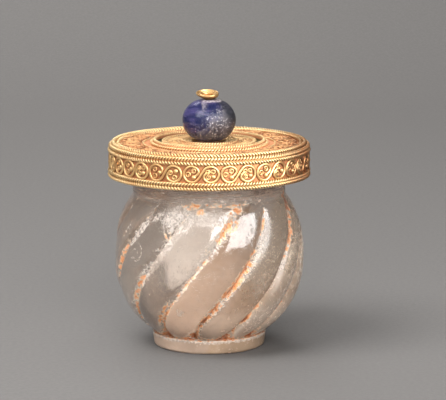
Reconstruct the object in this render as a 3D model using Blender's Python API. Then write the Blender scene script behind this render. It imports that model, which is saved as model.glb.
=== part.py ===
"""Lidded cosmetic jar: a fluted rock crystal jar, its gold lid, the blue stone bead that is the lid's knob,
and the gold pin that holds the bead.

Metres, +Z up. The origin is the middle of the foot's underside, and the front faces -Y.
"""

import math

import bmesh
import bpy

# Jar, cut from one crystal: heights stack up from the foot
FOOT_RADIUS = 0.0090
FOOT_HEIGHT = 0.0022
FOOT_TAPER = 0.0002
FOOT_ROUNDING = 0.0005
FOOT_LEDGE = 0.0004
BELLY_RADIUS = 0.01493
BELLY_RISE = 0.0111
SHOULDER_RISE = 0.0109
SHOULDER_POWER = 3.1
NECK_RADIUS = 0.01205
NECK_LENGTH = 0.0071
RIM_ROUNDING = 0.0004
CAVITY_RADIUS = 0.0044
CAVITY_ROUNDING = 0.0015
BASE_THICKNESS = 0.0050

# Flutes, as the hand spaced them: where the first groove starts, then the shares of the turn that
# the flutes take from there on, at the foot, halfway up and at the neck
FOOT_START = math.radians(-101.0)
FOOT_SHARES = (28.5, 24.0, 30.0, 32.5, 30.5, 27.0, 26.5, 27.0, 27.0, 26.5, 27.0, 26.5, 27.0)
MIDDLE_START = math.radians(-72.0)
MIDDLE_SHARES = (29.5, 31.5, 30.0, 28.5, 22.0, 27.5, 27.0, 27.5, 27.5, 27.0, 27.5, 27.0, 27.5)
NECK_START = math.radians(-38.5)
NECK_SHARES = (28.0, 31.0, 23.5, 30.0, 27.0, 27.5, 28.0, 27.5, 27.5, 27.5, 27.5, 27.5, 27.5)
FLUTE_DEPTH = 0.00065
FLUTE_POWER = 5.0
FLUTE_FADE = 0.0028
POCKET_DEPTH = 0.0010
POCKET_REACH = 0.0015
POCKET_POWER = 2.5

# Lid, sheet and wire soldered into one
SEAT_GAP = 0.0003
PLATE_THICKNESS = 0.0005
SHEET = 0.00045
NECK_SPACE = 0.0030
BAND_RELIEF = 0.0005
BAND_DROP = 0.00498
ROPE_RADIUS = 0.00032
# Where the five edge ropes run, in wire radii: in from the lid's outer reach, then up from the plate's
# top for the first three and up from the band's lower edge for the last two
TOP_ROPE_PLACE = (3.0, 1.0)
CORNER_ROPE_PLACE = (1.4, -0.4)
UPPER_ROPE_PLACE = (1.0, -2.5)
LOWER_ROPE_PLACE = (1.0, 2.9)
EDGE_ROPE_PLACE = (1.0, 1.0)
COLLAR_DEPTH = 0.0035
COLLAR_GAP = 0.0003
TRAY_HEIGHT = 0.00075
TRENCH_WIDTH = 0.0010
FIELD_WIDTH = 0.0029
FIELD_THICKNESS = 0.0003
CUP_LIP = 0.0002
CUP_HEIGHT = 0.00075

# Bead: the height is that of its whole oval, before the bore takes its ends
BEAD_RADIUS = 0.0043
BEAD_HEIGHT = 0.00684
BEAD_POWER = 2.15
BEAD_GAP = 0.0003
BORE_FLARE = 0.0004
BORE_FLARE_SHARE = 0.35

# Pin, with a washer head below the plate and a flared cup above the bead
PIN_RADIUS = 0.0004
PIN_GAP = 0.0003
WASHER_LIP = 0.0009
WASHER_THICKNESS = 0.00035
FLARE_BASE = 0.00085
FLARE_RADIUS = 0.00178
FLARE_HEIGHT = 0.00096
FLARE_WALL = 0.0003
FLARE_FLOOR = 0.00035
FLARE_SWELL = 0.35
FLARE_LEAN = 0.17
FLARE_SHIFT = 0.0003

# Fineness of the faceted solids
COLUMNS_IN_FLUTE = (-1.0, -0.85, -0.55, 0.0, 0.55, 0.85)
BELLY_RINGS = 9
SHOULDER_RINGS = 7
LID_SEGMENTS = 48
BEAD_SEGMENTS = 28
BEAD_RINGS = 9
PIN_SEGMENTS = 20
MERGE_DISTANCE = 0.000001
SHARP_ANGLE = math.radians(35.0)

# Heights and radii that follow from the sizes above
BELLY_LEVEL = FOOT_HEIGHT + BELLY_RISE
SHOULDER_LEVEL = BELLY_LEVEL + SHOULDER_RISE
JAR_HEIGHT = SHOULDER_LEVEL + NECK_LENGTH
TIP_RADIUS = FOOT_RADIUS - FOOT_LEDGE
PLATE_UNDERSIDE = JAR_HEIGHT + SEAT_GAP
PLATE_TOP = PLATE_UNDERSIDE + PLATE_THICKNESS
SKIRT_RADIUS = NECK_RADIUS + NECK_SPACE
BAND_RADIUS = SKIRT_RADIUS + SHEET
LID_RADIUS = BAND_RADIUS + BAND_RELIEF
BAND_EDGE = PLATE_TOP - BAND_DROP
CUP_RADIUS = BEAD_RADIUS + CUP_LIP
FIELD_RADIUS = CUP_RADIUS + FIELD_WIDTH
TRAY_RADIUS = FIELD_RADIUS + TRENCH_WIDTH + SHEET
BORE_RADIUS = PIN_RADIUS + PIN_GAP
BEAD_BOTTOM = PLATE_TOP + BEAD_GAP
BEAD_TOP = BEAD_BOTTOM + BEAD_HEIGHT


def clear_scene():
    """Removes whatever the file starts with."""
    for old in list(bpy.data.objects):
        bpy.data.objects.remove(old, do_unlink=True)


def plain_material(name, colour, roughness, metallic=0.0, transmission=0.0, ior=1.5):
    """A Principled material with values that are the same all over."""
    material = bpy.data.materials.new(name)
    material.use_nodes = True
    shader = material.node_tree.nodes["Principled BSDF"]
    shader.inputs["Base Color"].default_value = (*colour, 1.0)
    shader.inputs["Roughness"].default_value = roughness
    shader.inputs["Metallic"].default_value = metallic
    shader.inputs["Transmission Weight"].default_value = transmission
    shader.inputs["IOR"].default_value = ior
    return material


def arc(centre, radius, start, end, steps):
    """Points on an arc round centre, both ends included, with angles in degrees."""
    angles = [math.radians(start + (end - start) * i / steps) for i in range(steps + 1)]
    return [(centre[0] + radius * math.cos(a), centre[1] + radius * math.sin(a)) for a in angles]


def finished_object(name, mesh_builder, material, parent):
    """Turns a bmesh into a named object with its faces outwards and its round faces smooth."""
    bmesh.ops.remove_doubles(mesh_builder, verts=mesh_builder.verts, dist=MERGE_DISTANCE)
    bmesh.ops.recalc_face_normals(mesh_builder, faces=mesh_builder.faces)
    mesh = bpy.data.meshes.new(name)
    mesh_builder.to_mesh(mesh)
    mesh_builder.free()
    mesh.shade_smooth()
    mesh.set_sharp_from_angle(angle=SHARP_ANGLE)
    mesh.materials.append(material)
    piece = bpy.data.objects.new(name, mesh)
    piece.parent = parent
    bpy.context.scene.collection.objects.link(piece)
    return piece


def turned_mesh(outline, segments, closed):
    """Spins an outline of (radius, height) points round Z; an open outline ends on the axis twice."""
    builder = bmesh.new()
    points = [builder.verts.new((radius, 0.0, height)) for radius, height in outline]
    pairs = list(zip(points, points[1:]))
    if closed:
        pairs.append((points[-1], points[0]))
    edges = [builder.edges.new(pair) for pair in pairs]
    bmesh.ops.spin(
        builder,
        geom=points + edges,
        cent=(0.0, 0.0, 0.0),
        axis=(0.0, 0.0, 1.0),
        angle=math.tau,
        steps=segments,
        use_merge=True,
    )
    return builder


def belly_ellipse_drop():
    """Half height of the ellipse that runs from the widest point down to the flutes' tips."""
    return BELLY_RISE / math.sqrt(1.0 - (TIP_RADIUS / BELLY_RADIUS) ** 2)


def crest_radius(height):
    """Radius of the flutes' crests: part of an ellipse below the belly, a soft shoulder above it."""
    if height <= BELLY_LEVEL:
        share = (BELLY_LEVEL - height) / belly_ellipse_drop()
        return BELLY_RADIUS * math.sqrt(1.0 - share**2)
    share = (height - BELLY_LEVEL) / SHOULDER_RISE
    return NECK_RADIUS + (BELLY_RADIUS - NECK_RADIUS) * (1.0 - share**SHOULDER_POWER)


def smooth_step(share):
    """Eases from 0 to 1."""
    share = min(max(share, 0.0), 1.0)
    return share * share * (3.0 - 2.0 * share)


def fluted_radius(height, across):
    """Radius at a height, where across runs from -1 in one groove over the crest at 0 to 1."""
    fade = smooth_step((SHOULDER_LEVEL - height) / FLUTE_FADE)
    pocket = math.exp(-(((height - FOOT_HEIGHT) / POCKET_REACH) ** 2))
    groove = FLUTE_DEPTH * fade * abs(across) ** FLUTE_POWER
    return crest_radius(height) - groove - POCKET_DEPTH * pocket * abs(across) ** POCKET_POWER


def column_angles(start, shares):
    """Angles of the mesh's columns, all the way round, where the flutes take these shares of the turn."""
    whole = sum(shares)
    angles = []
    edge = start
    for share in shares:
        width = math.tau * share / whole
        angles += [edge + width * (across + 1.0) / 2.0 for across in COLUMNS_IN_FLUTE]
        edge += width
    return angles


def flute_columns():
    """(across, angle at the foot, angle halfway up, angle at the neck) for each column."""
    across = COLUMNS_IN_FLUTE * len(MIDDLE_SHARES)
    foot = column_angles(FOOT_START, FOOT_SHARES)
    middle = column_angles(MIDDLE_START, MIDDLE_SHARES)
    neck = column_angles(NECK_START, NECK_SHARES)
    return list(zip(across, foot, middle, neck))


def slanted_angle(height, foot, middle, neck):
    """Angle of a column at a height, on a smooth line through its three known angles."""
    share = (height - FOOT_HEIGHT) / (SHOULDER_LEVEL - FOOT_HEIGHT)
    share = min(max(share, 0.0), 1.0)
    at_foot = foot * (1.0 - share) * (1.0 - 2.0 * share)
    at_middle = middle * 4.0 * share * (1.0 - share)
    at_neck = neck * share * (2.0 * share - 1.0)
    return at_foot + at_middle + at_neck


def body_heights():
    """Heights of the fluted rings, close together at the tips and at the shoulder."""
    first = math.asin(TIP_RADIUS / BELLY_RADIUS)
    drop = belly_ellipse_drop()
    below = []
    for i in range(BELLY_RINGS):
        angle = first + (math.pi / 2.0 - first) * i / BELLY_RINGS
        below.append(BELLY_LEVEL - drop * math.cos(angle))
    above = []
    for i in range(SHOULDER_RINGS + 1):
        above.append(BELLY_LEVEL + SHOULDER_RISE * math.sin(math.pi / 2.0 * i / SHOULDER_RINGS))
    return below + above


def jar_rings(columns):
    """The jar's rings of radii, from the foot's underside up the outside and down into the cavity."""
    foot_corner = (FOOT_RADIUS - FOOT_TAPER - FOOT_ROUNDING, FOOT_ROUNDING)
    foot = arc(foot_corner, FOOT_ROUNDING, -90.0, 0.0, 3) + [(FOOT_RADIUS, FOOT_HEIGHT)]
    rim_level = JAR_HEIGHT - RIM_ROUNDING
    rim = arc((NECK_RADIUS - RIM_ROUNDING, rim_level), RIM_ROUNDING, 0.0, 90.0, 2)
    rim += arc((CAVITY_RADIUS + RIM_ROUNDING, rim_level), RIM_ROUNDING, 90.0, 180.0, 2)
    floor_corner = (CAVITY_RADIUS - CAVITY_ROUNDING, BASE_THICKNESS + CAVITY_ROUNDING)
    cavity = arc(floor_corner, CAVITY_ROUNDING, 0.0, -90.0, 3)

    rings = [(height, [radius] * len(columns)) for radius, height in foot]
    for height in body_heights():
        rings.append((height, [fluted_radius(height, across) for across, *_ in columns]))
    rings += [(height, [radius] * len(columns)) for radius, height in rim + cavity]
    return rings


def build_jar(material, parent):
    """The crystal jar: one closed body of triangles whose columns follow the slanting flutes."""
    columns = flute_columns()
    builder = bmesh.new()
    loops = []
    for height, radii in jar_rings(columns):
        loop = []
        for (_, foot, middle, neck), radius in zip(columns, radii):
            angle = slanted_angle(height, foot, middle, neck)
            loop.append(builder.verts.new((radius * math.sin(angle), -radius * math.cos(angle), height)))
        loops.append(loop)
    count = len(columns)
    for lower, upper in zip(loops, loops[1:]):
        for i in range(count):
            j = (i + 1) % count
            builder.faces.new((lower[i], lower[j], upper[i]))
            builder.faces.new((lower[j], upper[j], upper[i]))
    for loop, level in ((loops[0], 0.0), (loops[-1], BASE_THICKNESS)):
        centre = builder.verts.new((0.0, 0.0, level))
        for i in range(count):
            builder.faces.new((loop[i], loop[(i + 1) % count], centre))
    return finished_object("crystal_jar", builder, material, parent)


def edge_rope_arc(place, level, start, end, steps):
    """Outer part of an edge rope's section, between two angles in degrees."""
    inset, rise = place
    centre = (LID_RADIUS - inset * ROPE_RADIUS, level + rise * ROPE_RADIUS)
    return arc(centre, ROPE_RADIUS, start, end, steps)


def lid_outline():
    """The lid's section, from the pin hole out over the top, down the band and back underneath."""
    rope = ROPE_RADIUS
    tray_top = PLATE_TOP + TRAY_HEIGHT
    cup_top = PLATE_TOP + CUP_HEIGHT
    field_top = PLATE_TOP + FIELD_THICKNESS
    cup = [
        (BORE_RADIUS, PLATE_TOP),
        (CUP_RADIUS - SHEET, PLATE_TOP),
        (CUP_RADIUS - SHEET, cup_top),
        (CUP_RADIUS, cup_top),
        (CUP_RADIUS, field_top),
    ]
    field_rope = arc((FIELD_RADIUS - rope, field_top), rope, 160.0, 0.0, 2)
    tray = [
        (FIELD_RADIUS, PLATE_TOP),
        (TRAY_RADIUS - SHEET, PLATE_TOP),
        (TRAY_RADIUS - SHEET, tray_top),
        (TRAY_RADIUS, tray_top),
    ]
    tray_rope = arc((TRAY_RADIUS + rope, PLATE_TOP + rope), rope, 130.0, -20.0, 2)
    tray_rope.append((TRAY_RADIUS + 2.0 * rope, PLATE_TOP))
    top_rope = edge_rope_arc(TOP_ROPE_PLACE, PLATE_TOP, 180.0, 25.0, 3)
    top_foot = [(top_rope[0][0], PLATE_TOP)]
    corner_rope = edge_rope_arc(CORNER_ROPE_PLACE, PLATE_TOP, 80.0, -10.0, 1)
    upper_rope = edge_rope_arc(UPPER_ROPE_PLACE, PLATE_TOP, 50.0, -70.0, 2)
    lower_rope = edge_rope_arc(LOWER_ROPE_PLACE, BAND_EDGE, 70.0, -50.0, 2)
    lowest_rope = edge_rope_arc(EDGE_ROPE_PLACE, BAND_EDGE, 50.0, -90.0, 3)
    underside = [
        (SKIRT_RADIUS, BAND_EDGE),
        (SKIRT_RADIUS, PLATE_UNDERSIDE),
        (CAVITY_RADIUS - COLLAR_GAP, PLATE_UNDERSIDE),
        (CAVITY_RADIUS - COLLAR_GAP, PLATE_UNDERSIDE - COLLAR_DEPTH),
        (CAVITY_RADIUS - COLLAR_GAP - SHEET, PLATE_UNDERSIDE - COLLAR_DEPTH),
        (CAVITY_RADIUS - COLLAR_GAP - SHEET, PLATE_UNDERSIDE),
        (BORE_RADIUS, PLATE_UNDERSIDE),
    ]
    top = cup + field_rope + tray + tray_rope + top_foot + top_rope
    return top + corner_rope + upper_rope + lower_rope + lowest_rope + underside


def bead_outline():
    """The bead's section: a full oval, with a bore that widens towards both ends."""
    half = BEAD_HEIGHT / 2.0
    middle = BEAD_BOTTOM + half
    mouth = BORE_RADIUS + BORE_FLARE
    shoulder = math.asin((mouth / BEAD_RADIUS) ** (BEAD_POWER / 2.0))
    outside = []
    for i in range(BEAD_RINGS + 1):
        angle = shoulder + (math.pi - 2.0 * shoulder) * i / BEAD_RINGS
        radius = BEAD_RADIUS * math.sin(angle) ** (2.0 / BEAD_POWER)
        rise = abs(math.cos(angle)) ** (2.0 / BEAD_POWER)
        outside.append((radius, middle + math.copysign(half * rise, math.cos(angle))))
    inner = half * (1.0 - 2.0 * BORE_FLARE_SHARE)
    return outside + [(BORE_RADIUS, middle - inner), (BORE_RADIUS, middle + inner)]


def pin_outline():
    """The pin's section, from the washer's underside up the shaft and into the cup's floor."""
    washer_top = PLATE_UNDERSIDE - PIN_GAP
    washer_radius = PIN_RADIUS + WASHER_LIP
    rim_level = BEAD_TOP + FLARE_HEIGHT
    swell = (FLARE_BASE + 2.0 * FLARE_RADIUS) / 3.0
    return [
        (0.0, washer_top - WASHER_THICKNESS),
        (washer_radius, washer_top - WASHER_THICKNESS),
        (washer_radius, washer_top),
        (PIN_RADIUS, washer_top),
        (PIN_RADIUS, BEAD_TOP - (FLARE_BASE - PIN_RADIUS)),
        (FLARE_BASE, BEAD_TOP),
        (swell, BEAD_TOP + FLARE_SWELL * FLARE_HEIGHT),
        (FLARE_RADIUS, rim_level - FLARE_WALL / 2.0),
        (FLARE_RADIUS - FLARE_WALL / 2.0, rim_level),
        (FLARE_RADIUS - FLARE_WALL, rim_level - FLARE_WALL / 2.0),
        (FLARE_BASE, BEAD_TOP + FLARE_FLOOR),
        (0.0, BEAD_TOP + FLARE_FLOOR),
    ]


def build_pin(material, parent):
    """The gold pin; its cup leans a little to the front and stands a little to the left."""
    builder = turned_mesh(pin_outline(), PIN_SEGMENTS, closed=False)
    for vertex in builder.verts:
        share = smooth_step((vertex.co.z - BEAD_TOP) / FLARE_HEIGHT)
        vertex.co.z += FLARE_LEAN * share * vertex.co.y
        vertex.co.x -= FLARE_SHIFT * share
    return finished_object("knob_pin", builder, material, parent)


def main():
    """Builds the four pieces under one parent."""
    clear_scene()
    crystal = plain_material("rock crystal", (0.86, 0.80, 0.74), 0.12, transmission=0.9, ior=1.544)
    gold = plain_material("gold", (0.83, 0.55, 0.30), 0.32, metallic=1.0)
    stone = plain_material("blue stone", (0.06, 0.07, 0.28), 0.08, transmission=0.5, ior=1.54)
    jar_set = bpy.data.objects.new("cosmetic_jar", None)
    bpy.context.scene.collection.objects.link(jar_set)

    build_jar(crystal, jar_set)
    lid = turned_mesh(lid_outline(), LID_SEGMENTS, closed=True)
    finished_object("gold_lid", lid, gold, jar_set)
    bead = turned_mesh(bead_outline(), BEAD_SEGMENTS, closed=True)
    finished_object("stone_bead", bead, stone, jar_set)
    build_pin(gold, jar_set)


main()
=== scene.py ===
"""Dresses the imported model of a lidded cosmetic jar: rock crystal, gold filigree and a blue stone bead.

Sizes are in millimetres, +Z up, with the jar's foot at the origin and its front towards -Y. MM turns them
into Blender's metres.
"""

import logging
import math
from dataclasses import dataclass, field
from enum import Enum
from typing import NamedTuple

import bmesh
import bpy
import numpy as np
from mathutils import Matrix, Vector

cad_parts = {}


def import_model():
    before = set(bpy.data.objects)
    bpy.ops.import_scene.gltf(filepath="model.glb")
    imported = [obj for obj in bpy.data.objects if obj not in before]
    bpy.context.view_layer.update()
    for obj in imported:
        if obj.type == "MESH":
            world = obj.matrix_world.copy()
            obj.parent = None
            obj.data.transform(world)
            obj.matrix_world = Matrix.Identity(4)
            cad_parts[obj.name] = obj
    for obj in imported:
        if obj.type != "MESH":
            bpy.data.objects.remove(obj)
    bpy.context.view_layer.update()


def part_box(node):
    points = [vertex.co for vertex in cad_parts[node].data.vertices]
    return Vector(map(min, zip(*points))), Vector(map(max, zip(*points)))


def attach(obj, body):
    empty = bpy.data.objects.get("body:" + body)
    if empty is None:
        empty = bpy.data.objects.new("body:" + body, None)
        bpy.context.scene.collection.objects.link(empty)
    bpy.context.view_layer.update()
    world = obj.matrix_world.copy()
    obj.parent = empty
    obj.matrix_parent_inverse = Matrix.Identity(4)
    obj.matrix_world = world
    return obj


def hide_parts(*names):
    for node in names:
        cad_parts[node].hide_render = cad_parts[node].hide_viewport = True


MM = 0.001
BODY = "root"
SHARP_ANGLE = math.radians(38.0)
WIRE_SIDES = 7
CURL_STEPS = 30
# Depth and width of the dark ridges of painted contact shadow, as shares of a wire's radius.
CONTACT_SHADOW_DEPTH = 2.2
CONTACT_SHADOW_WIDTH = 2.1
UNEVENNESS = 0.16
MERGE_DISTANCE = 0.001 * MM
QUARTZ_IOR = 1.544
VIEW_TRANSFORM = "Standard"
LOG = logging.getLogger("jar")

Colour = tuple[float, float, float]
Point = tuple[float, float]
Place = tuple[float, float, float]


class Wrap(Enum):
    """What a flat strip of filigree is laid on."""

    BAND = "round the lid's upright band"
    PLATE = "round the lid's flat top"


class Twist(Enum):
    """Which way the strands of a rope wire turn."""

    RIGHT = 1
    LEFT = -1


# Node graphs


@dataclass(frozen=True)
class Field:
    """A node socket that takes part in arithmetic."""

    graph: "Graph"
    socket: bpy.types.NodeSocket

    def _math(self, operation: str, *values: "Field | float") -> "Field":
        """Adds one Math node."""
        return self.graph.math(operation, *values)

    def __add__(self, other: "Field | float") -> "Field":
        """Sum."""
        return self._math("ADD", self, other)

    __radd__ = __add__

    def __sub__(self, other: "Field | float") -> "Field":
        """Difference."""
        return self._math("SUBTRACT", self, other)

    def __rsub__(self, other: "Field | float") -> "Field":
        """Difference from a number."""
        return self._math("SUBTRACT", other, self)

    def __mul__(self, other: "Field | float") -> "Field":
        """Product."""
        return self._math("MULTIPLY", self, other)

    __rmul__ = __mul__

    def __truediv__(self, other: "Field | float") -> "Field":
        """Quotient."""
        return self._math("DIVIDE", self, other)

    def __pow__(self, other: "Field | float") -> "Field":
        """Power."""
        return self._math("POWER", self, other)

    def __abs__(self) -> "Field":
        """Size without sign."""
        return self._math("ABSOLUTE", self)

    def at_most(self, other: "Field | float") -> "Field":
        """The smaller of the two."""
        return self._math("MINIMUM", self, other)

    def at_least(self, other: "Field | float") -> "Field":
        """The larger of the two."""
        return self._math("MAXIMUM", self, other)

    def step(self, low: float, high: float) -> "Field":
        """Eases from 0 at low to 1 at high.

        Args:
            low: Value that gives 0.
            high: Value that gives 1, which may be the smaller of the two.

        Returns:
            The eased value.
        """
        inputs = {"Value": self, "From Min": low, "From Max": high}
        return self.graph.field("ShaderNodeMapRange", {"interpolation_type": "SMOOTHSTEP"}, inputs)


class Graph:
    """A shader or geometry node tree, with the one method that adds nodes to it."""

    def __init__(self, tree: bpy.types.NodeTree) -> None:
        """Wraps a tree."""
        self.tree = tree

    def node(self, kind: str, settings: dict | None = None, inputs: dict | None = None) -> bpy.types.Node:
        """Adds a node.

        Args:
            kind: Blender's name for the node's type.
            settings: Properties by name, which are set first.
            inputs: Values or fields by socket name or number.

        Returns:
            The new node.
        """
        made = self.tree.nodes.new(kind)
        for key, value in (settings or {}).items():
            setattr(made, key, value)
        for key, value in (inputs or {}).items():
            self.feed(made.inputs[key], value)
        return made

    def feed(self, socket: bpy.types.NodeSocket, value: Field | float | str | tuple) -> None:
        """Links a field to a socket, or sets the socket's own value.

        Args:
            socket: The input socket.
            value: The field, or a number, a vector, a colour or a name.
        """
        if isinstance(value, Field):
            self.tree.links.new(value.socket, socket)
        elif socket.type == "RGBA" and len(value) == 3:
            socket.default_value = (*value, 1.0)
        else:
            socket.default_value = value

    def field(
        self, kind: str, settings: dict | None = None, inputs: dict | None = None, output: int | str = 0
    ) -> Field:
        """Adds a node and returns one of its outputs.

        Args:
            kind: Blender's name for the node's type.
            settings: Properties to set first.
            inputs: Values or fields by socket name or number.
            output: Name or number of the output.

        Returns:
            The output as a field.
        """
        return Field(self, self.node(kind, settings, inputs).outputs[output])

    def math(self, operation: str, *values: Field | float) -> Field:
        """Adds a Math node for numbers."""
        return self.field("ShaderNodeMath", {"operation": operation}, dict(enumerate(values)))

    def vector(self, operation: str, *values: Field | tuple) -> Field:
        """Adds a Vector Math node."""
        return self.field("ShaderNodeVectorMath", {"operation": operation}, dict(enumerate(values)))

    def scaled(self, value: Field, amount: float | Field) -> Field:
        """A vector times a number."""
        return self.field("ShaderNodeVectorMath", {"operation": "SCALE"}, {0: value, "Scale": amount})

    def join(self, x: Field | float, y: Field | float, z: Field | float) -> Field:
        """A vector from three numbers."""
        return self.field("ShaderNodeCombineXYZ", None, {"X": x, "Y": y, "Z": z})

    def split(self, value: Field) -> tuple[Field, Field, Field]:
        """A vector's three numbers."""
        parts = self.node("ShaderNodeSeparateXYZ", None, {0: value}).outputs
        return Field(self, parts[0]), Field(self, parts[1]), Field(self, parts[2])

    def mix(self, factor: Field | float, low: Field | Colour, high: Field | Colour) -> Field:
        """Mixes two colours."""
        inputs = {0: factor, 6: low, 7: high}
        return self.field("ShaderNodeMix", {"data_type": "RGBA"}, inputs, 2)

    def noise(self, place: Field, scale: float, detail: float = 3.0, roughness: float = 0.55) -> Field:
        """Soft noise about 0.5 at a place, with a scale in features per unit of the place."""
        inputs = {"Vector": place, "Scale": scale, "Detail": detail, "Roughness": roughness}
        return self.field("ShaderNodeTexNoise", None, inputs, 0)

    def cells(self, place: Field, scale: float, feature: str, output: str = "Distance") -> Field:
        """Cell pattern at a place, such as the distance to cell edges."""
        inputs = {"Vector": place, "Scale": scale}
        return self.field("ShaderNodeTexVoronoi", {"feature": feature}, inputs, output)


class Surface(Graph):
    """A material's node graph."""

    def __init__(self, name: str) -> None:
        """Starts a material with nothing but its output and the place of each point.

        Args:
            name: The material's name.
        """
        self.material = bpy.data.materials.new(name)
        self.material.use_nodes = True
        super().__init__(self.material.node_tree)
        self.tree.nodes.clear()
        self.output = self.node("ShaderNodeOutputMaterial")
        place = self.field("ShaderNodeTexCoord", None, None, "Object")
        self.place = self.scaled(place, 1.0 / MM)

    def attribute(self, name: str) -> Field:
        """A number kept with the mesh's points."""
        return self.field("ShaderNodeAttribute", {"attribute_name": name}, None, "Fac")

    def bump(self, height: Field, distance: float, strength: float = 1.0) -> Field:
        """A normal from a height field, with its depth in millimetres."""
        inputs = {"Height": height, "Distance": distance * MM, "Strength": strength}
        return self.field("ShaderNodeBump", None, inputs)

    def principled(self, **values: Field | float | tuple) -> Field:
        """Adds a Principled shader.

        Args:
            values: Its sockets' values or fields; words in a socket's name are joined by underscores.

        Returns:
            The shader.
        """
        inputs = {
            key.replace("_", " ").title().replace("Ior", "IOR"): value for key, value in values.items()
        }
        return self.field("ShaderNodeBsdfPrincipled", None, inputs)

    def blend(self, factor: Field | float, low: Field, high: Field) -> Field:
        """Mixes two shaders."""
        return self.field("ShaderNodeMixShader", None, {0: factor, 1: low, 2: high})

    def done(self, shader: Field) -> bpy.types.Material:
        """Links the finished shader and returns the material."""
        self.feed(self.output.inputs["Surface"], shader)
        return self.material


class ShapeTree(Graph):
    """A geometry node tree with named inputs that ends in Realize Instances and Set Material."""

    def __init__(self, name: str, sizes: tuple[str, ...], counts: tuple[str, ...] = ()) -> None:
        """Starts a tree, which also has an input for its material.

        Args:
            name: The tree's name.
            sizes: Names of the inputs that are sizes.
            counts: Names of the inputs that are whole numbers.
        """
        super().__init__(bpy.data.node_groups.new(name, "GeometryNodeTree"))
        kinds = {"Geometry": "Geometry", **dict.fromkeys(sizes, "Float"), **dict.fromkeys(counts, "Int")}
        for label, kind in (kinds | {"Material": "Material"}).items():
            self.tree.interface.new_socket(label, in_out="INPUT", socket_type="NodeSocket" + kind)
        self.tree.interface.new_socket("Geometry", in_out="OUTPUT", socket_type="NodeSocketGeometry")
        self.entry = self.node("NodeGroupInput")
        self.exit = self.node("NodeGroupOutput")

    def given(self, label: str) -> Field:
        """A named input of the tree."""
        return Field(self, self.entry.outputs[label])

    def named(self, attribute: str) -> Field:
        """A number kept with the geometry's points, by name."""
        return self.field("GeometryNodeInputNamedAttribute", {"data_type": "FLOAT"}, {"Name": attribute})

    def position(self) -> Field:
        """Where each point is, in Blender's metres."""
        return self.field("GeometryNodeInputPosition")

    def position_mm(self) -> Field:
        """Where each point is, in millimetres."""
        return self.scaled(self.position(), 1.0 / MM)

    def circle(self, steps: Field | int, radius: Field | float = 1.0) -> Field:
        """A flat ring of curve about the origin, with its radius in metres."""
        inputs = {"Resolution": steps, "Radius": radius}
        return self.field("GeometryNodeCurvePrimitiveCircle", {"mode": "RADIUS"}, inputs)

    def tube(self, path: Field, section: Field, **options: Field | bool) -> Field:
        """A section drawn along a path.

        Args:
            path: The path.
            section: The section.
            options: The node's Scale and Fill_Caps.

        Returns:
            The tube.
        """
        inputs = {key.replace("_", " "): value for key, value in options.items()}
        inputs |= {"Curve": path, "Profile Curve": section}
        return self.field("GeometryNodeCurveToMesh", None, inputs)

    def moved(self, geometry: Field, **place: Field) -> Field:
        """Moves the geometry's points to a Position or by an Offset."""
        return self.field("GeometryNodeSetPosition", None, {"Geometry": geometry, **place})

    def without(self, geometry: Field, selection: Field) -> Field:
        """Deletes the selected points."""
        inputs = {"Geometry": geometry, "Selection": selection}
        return self.field("GeometryNodeDeleteGeometry", {"domain": "POINT"}, inputs)

    def real(self, instances: Field) -> Field:
        """Turns instances into geometry of their own."""
        return self.field("GeometryNodeRealizeInstances", None, {0: instances})

    def joined(self, *parts: Field) -> Field:
        """Joins pieces of geometry, in their order.

        Args:
            parts: The pieces.

        Returns:
            One geometry.
        """
        node = self.node("GeometryNodeJoinGeometry")
        for part in parts:
            self.feed(node.inputs[0], part)
        return Field(self, node.outputs[0])

    def keep(self, geometry: Field, attribute: str, value: Field, domain: str = "POINT") -> Field:
        """Stores a number with the geometry's points or instances.

        Args:
            geometry: The geometry.
            attribute: The attribute's name.
            value: The number.
            domain: Where it is kept.

        Returns:
            The geometry with the attribute.
        """
        return self.field(
            "GeometryNodeStoreNamedAttribute",
            {"data_type": "FLOAT", "domain": domain},
            {"Geometry": geometry, "Name": attribute, "Value": value},
        )

    def finish(self, geometry: Field) -> None:
        """Ends the tree: real geometry, shaded smooth, with the material that the tree is given.

        Args:
            geometry: The tree's result.
        """
        smooth = self.field("GeometryNodeSetShadeSmooth", None, {"Geometry": self.real(geometry)})
        inputs = {"Geometry": smooth, "Material": self.given("Material")}
        self.feed(self.exit.inputs[0], self.field("GeometryNodeSetMaterial", None, inputs))

    def grow(self, name: str, seed_mesh: bpy.types.Mesh, values: dict) -> bpy.types.Object:
        """Runs the tree on a mesh and keeps the result as a plain mesh object.

        Args:
            name: Name of the finished object.
            seed_mesh: The mesh that the tree starts from.
            values: A value for each named input.

        Returns:
            The finished object, with no modifier.
        """
        holder = link(bpy.data.objects.new(name + "_seed", seed_mesh))
        modifier = holder.modifiers.new("shape", "NODES")
        modifier.node_group = self.tree
        for item in self.tree.interface.items_tree:
            if item.in_out == "INPUT" and item.name in values:
                modifier[item.identifier] = values[item.name]
        evaluated = holder.evaluated_get(bpy.context.evaluated_depsgraph_get())
        mesh = bpy.data.meshes.new_from_object(evaluated)
        holder.modifiers.remove(modifier)
        bpy.data.objects.remove(holder)
        mesh.name = name
        return link(bpy.data.objects.new(name, mesh))


# Meshes


def link(piece: bpy.types.Object) -> bpy.types.Object:
    """Puts an object in the scene and returns it."""
    bpy.context.scene.collection.objects.link(piece)
    return piece


def smooth_step(value: float, low: float, high: float) -> float:
    """Eases from 0 at low to 1 at high."""
    share = min(max((value - low) / (high - low), 0.0), 1.0)
    return share * share * (3.0 - 2.0 * share)


def bell(off: float, width: float) -> float:
    """Falls from 1 at no distance off to almost nothing at twice the width."""
    return math.exp(-((off / width) ** 2))


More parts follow.
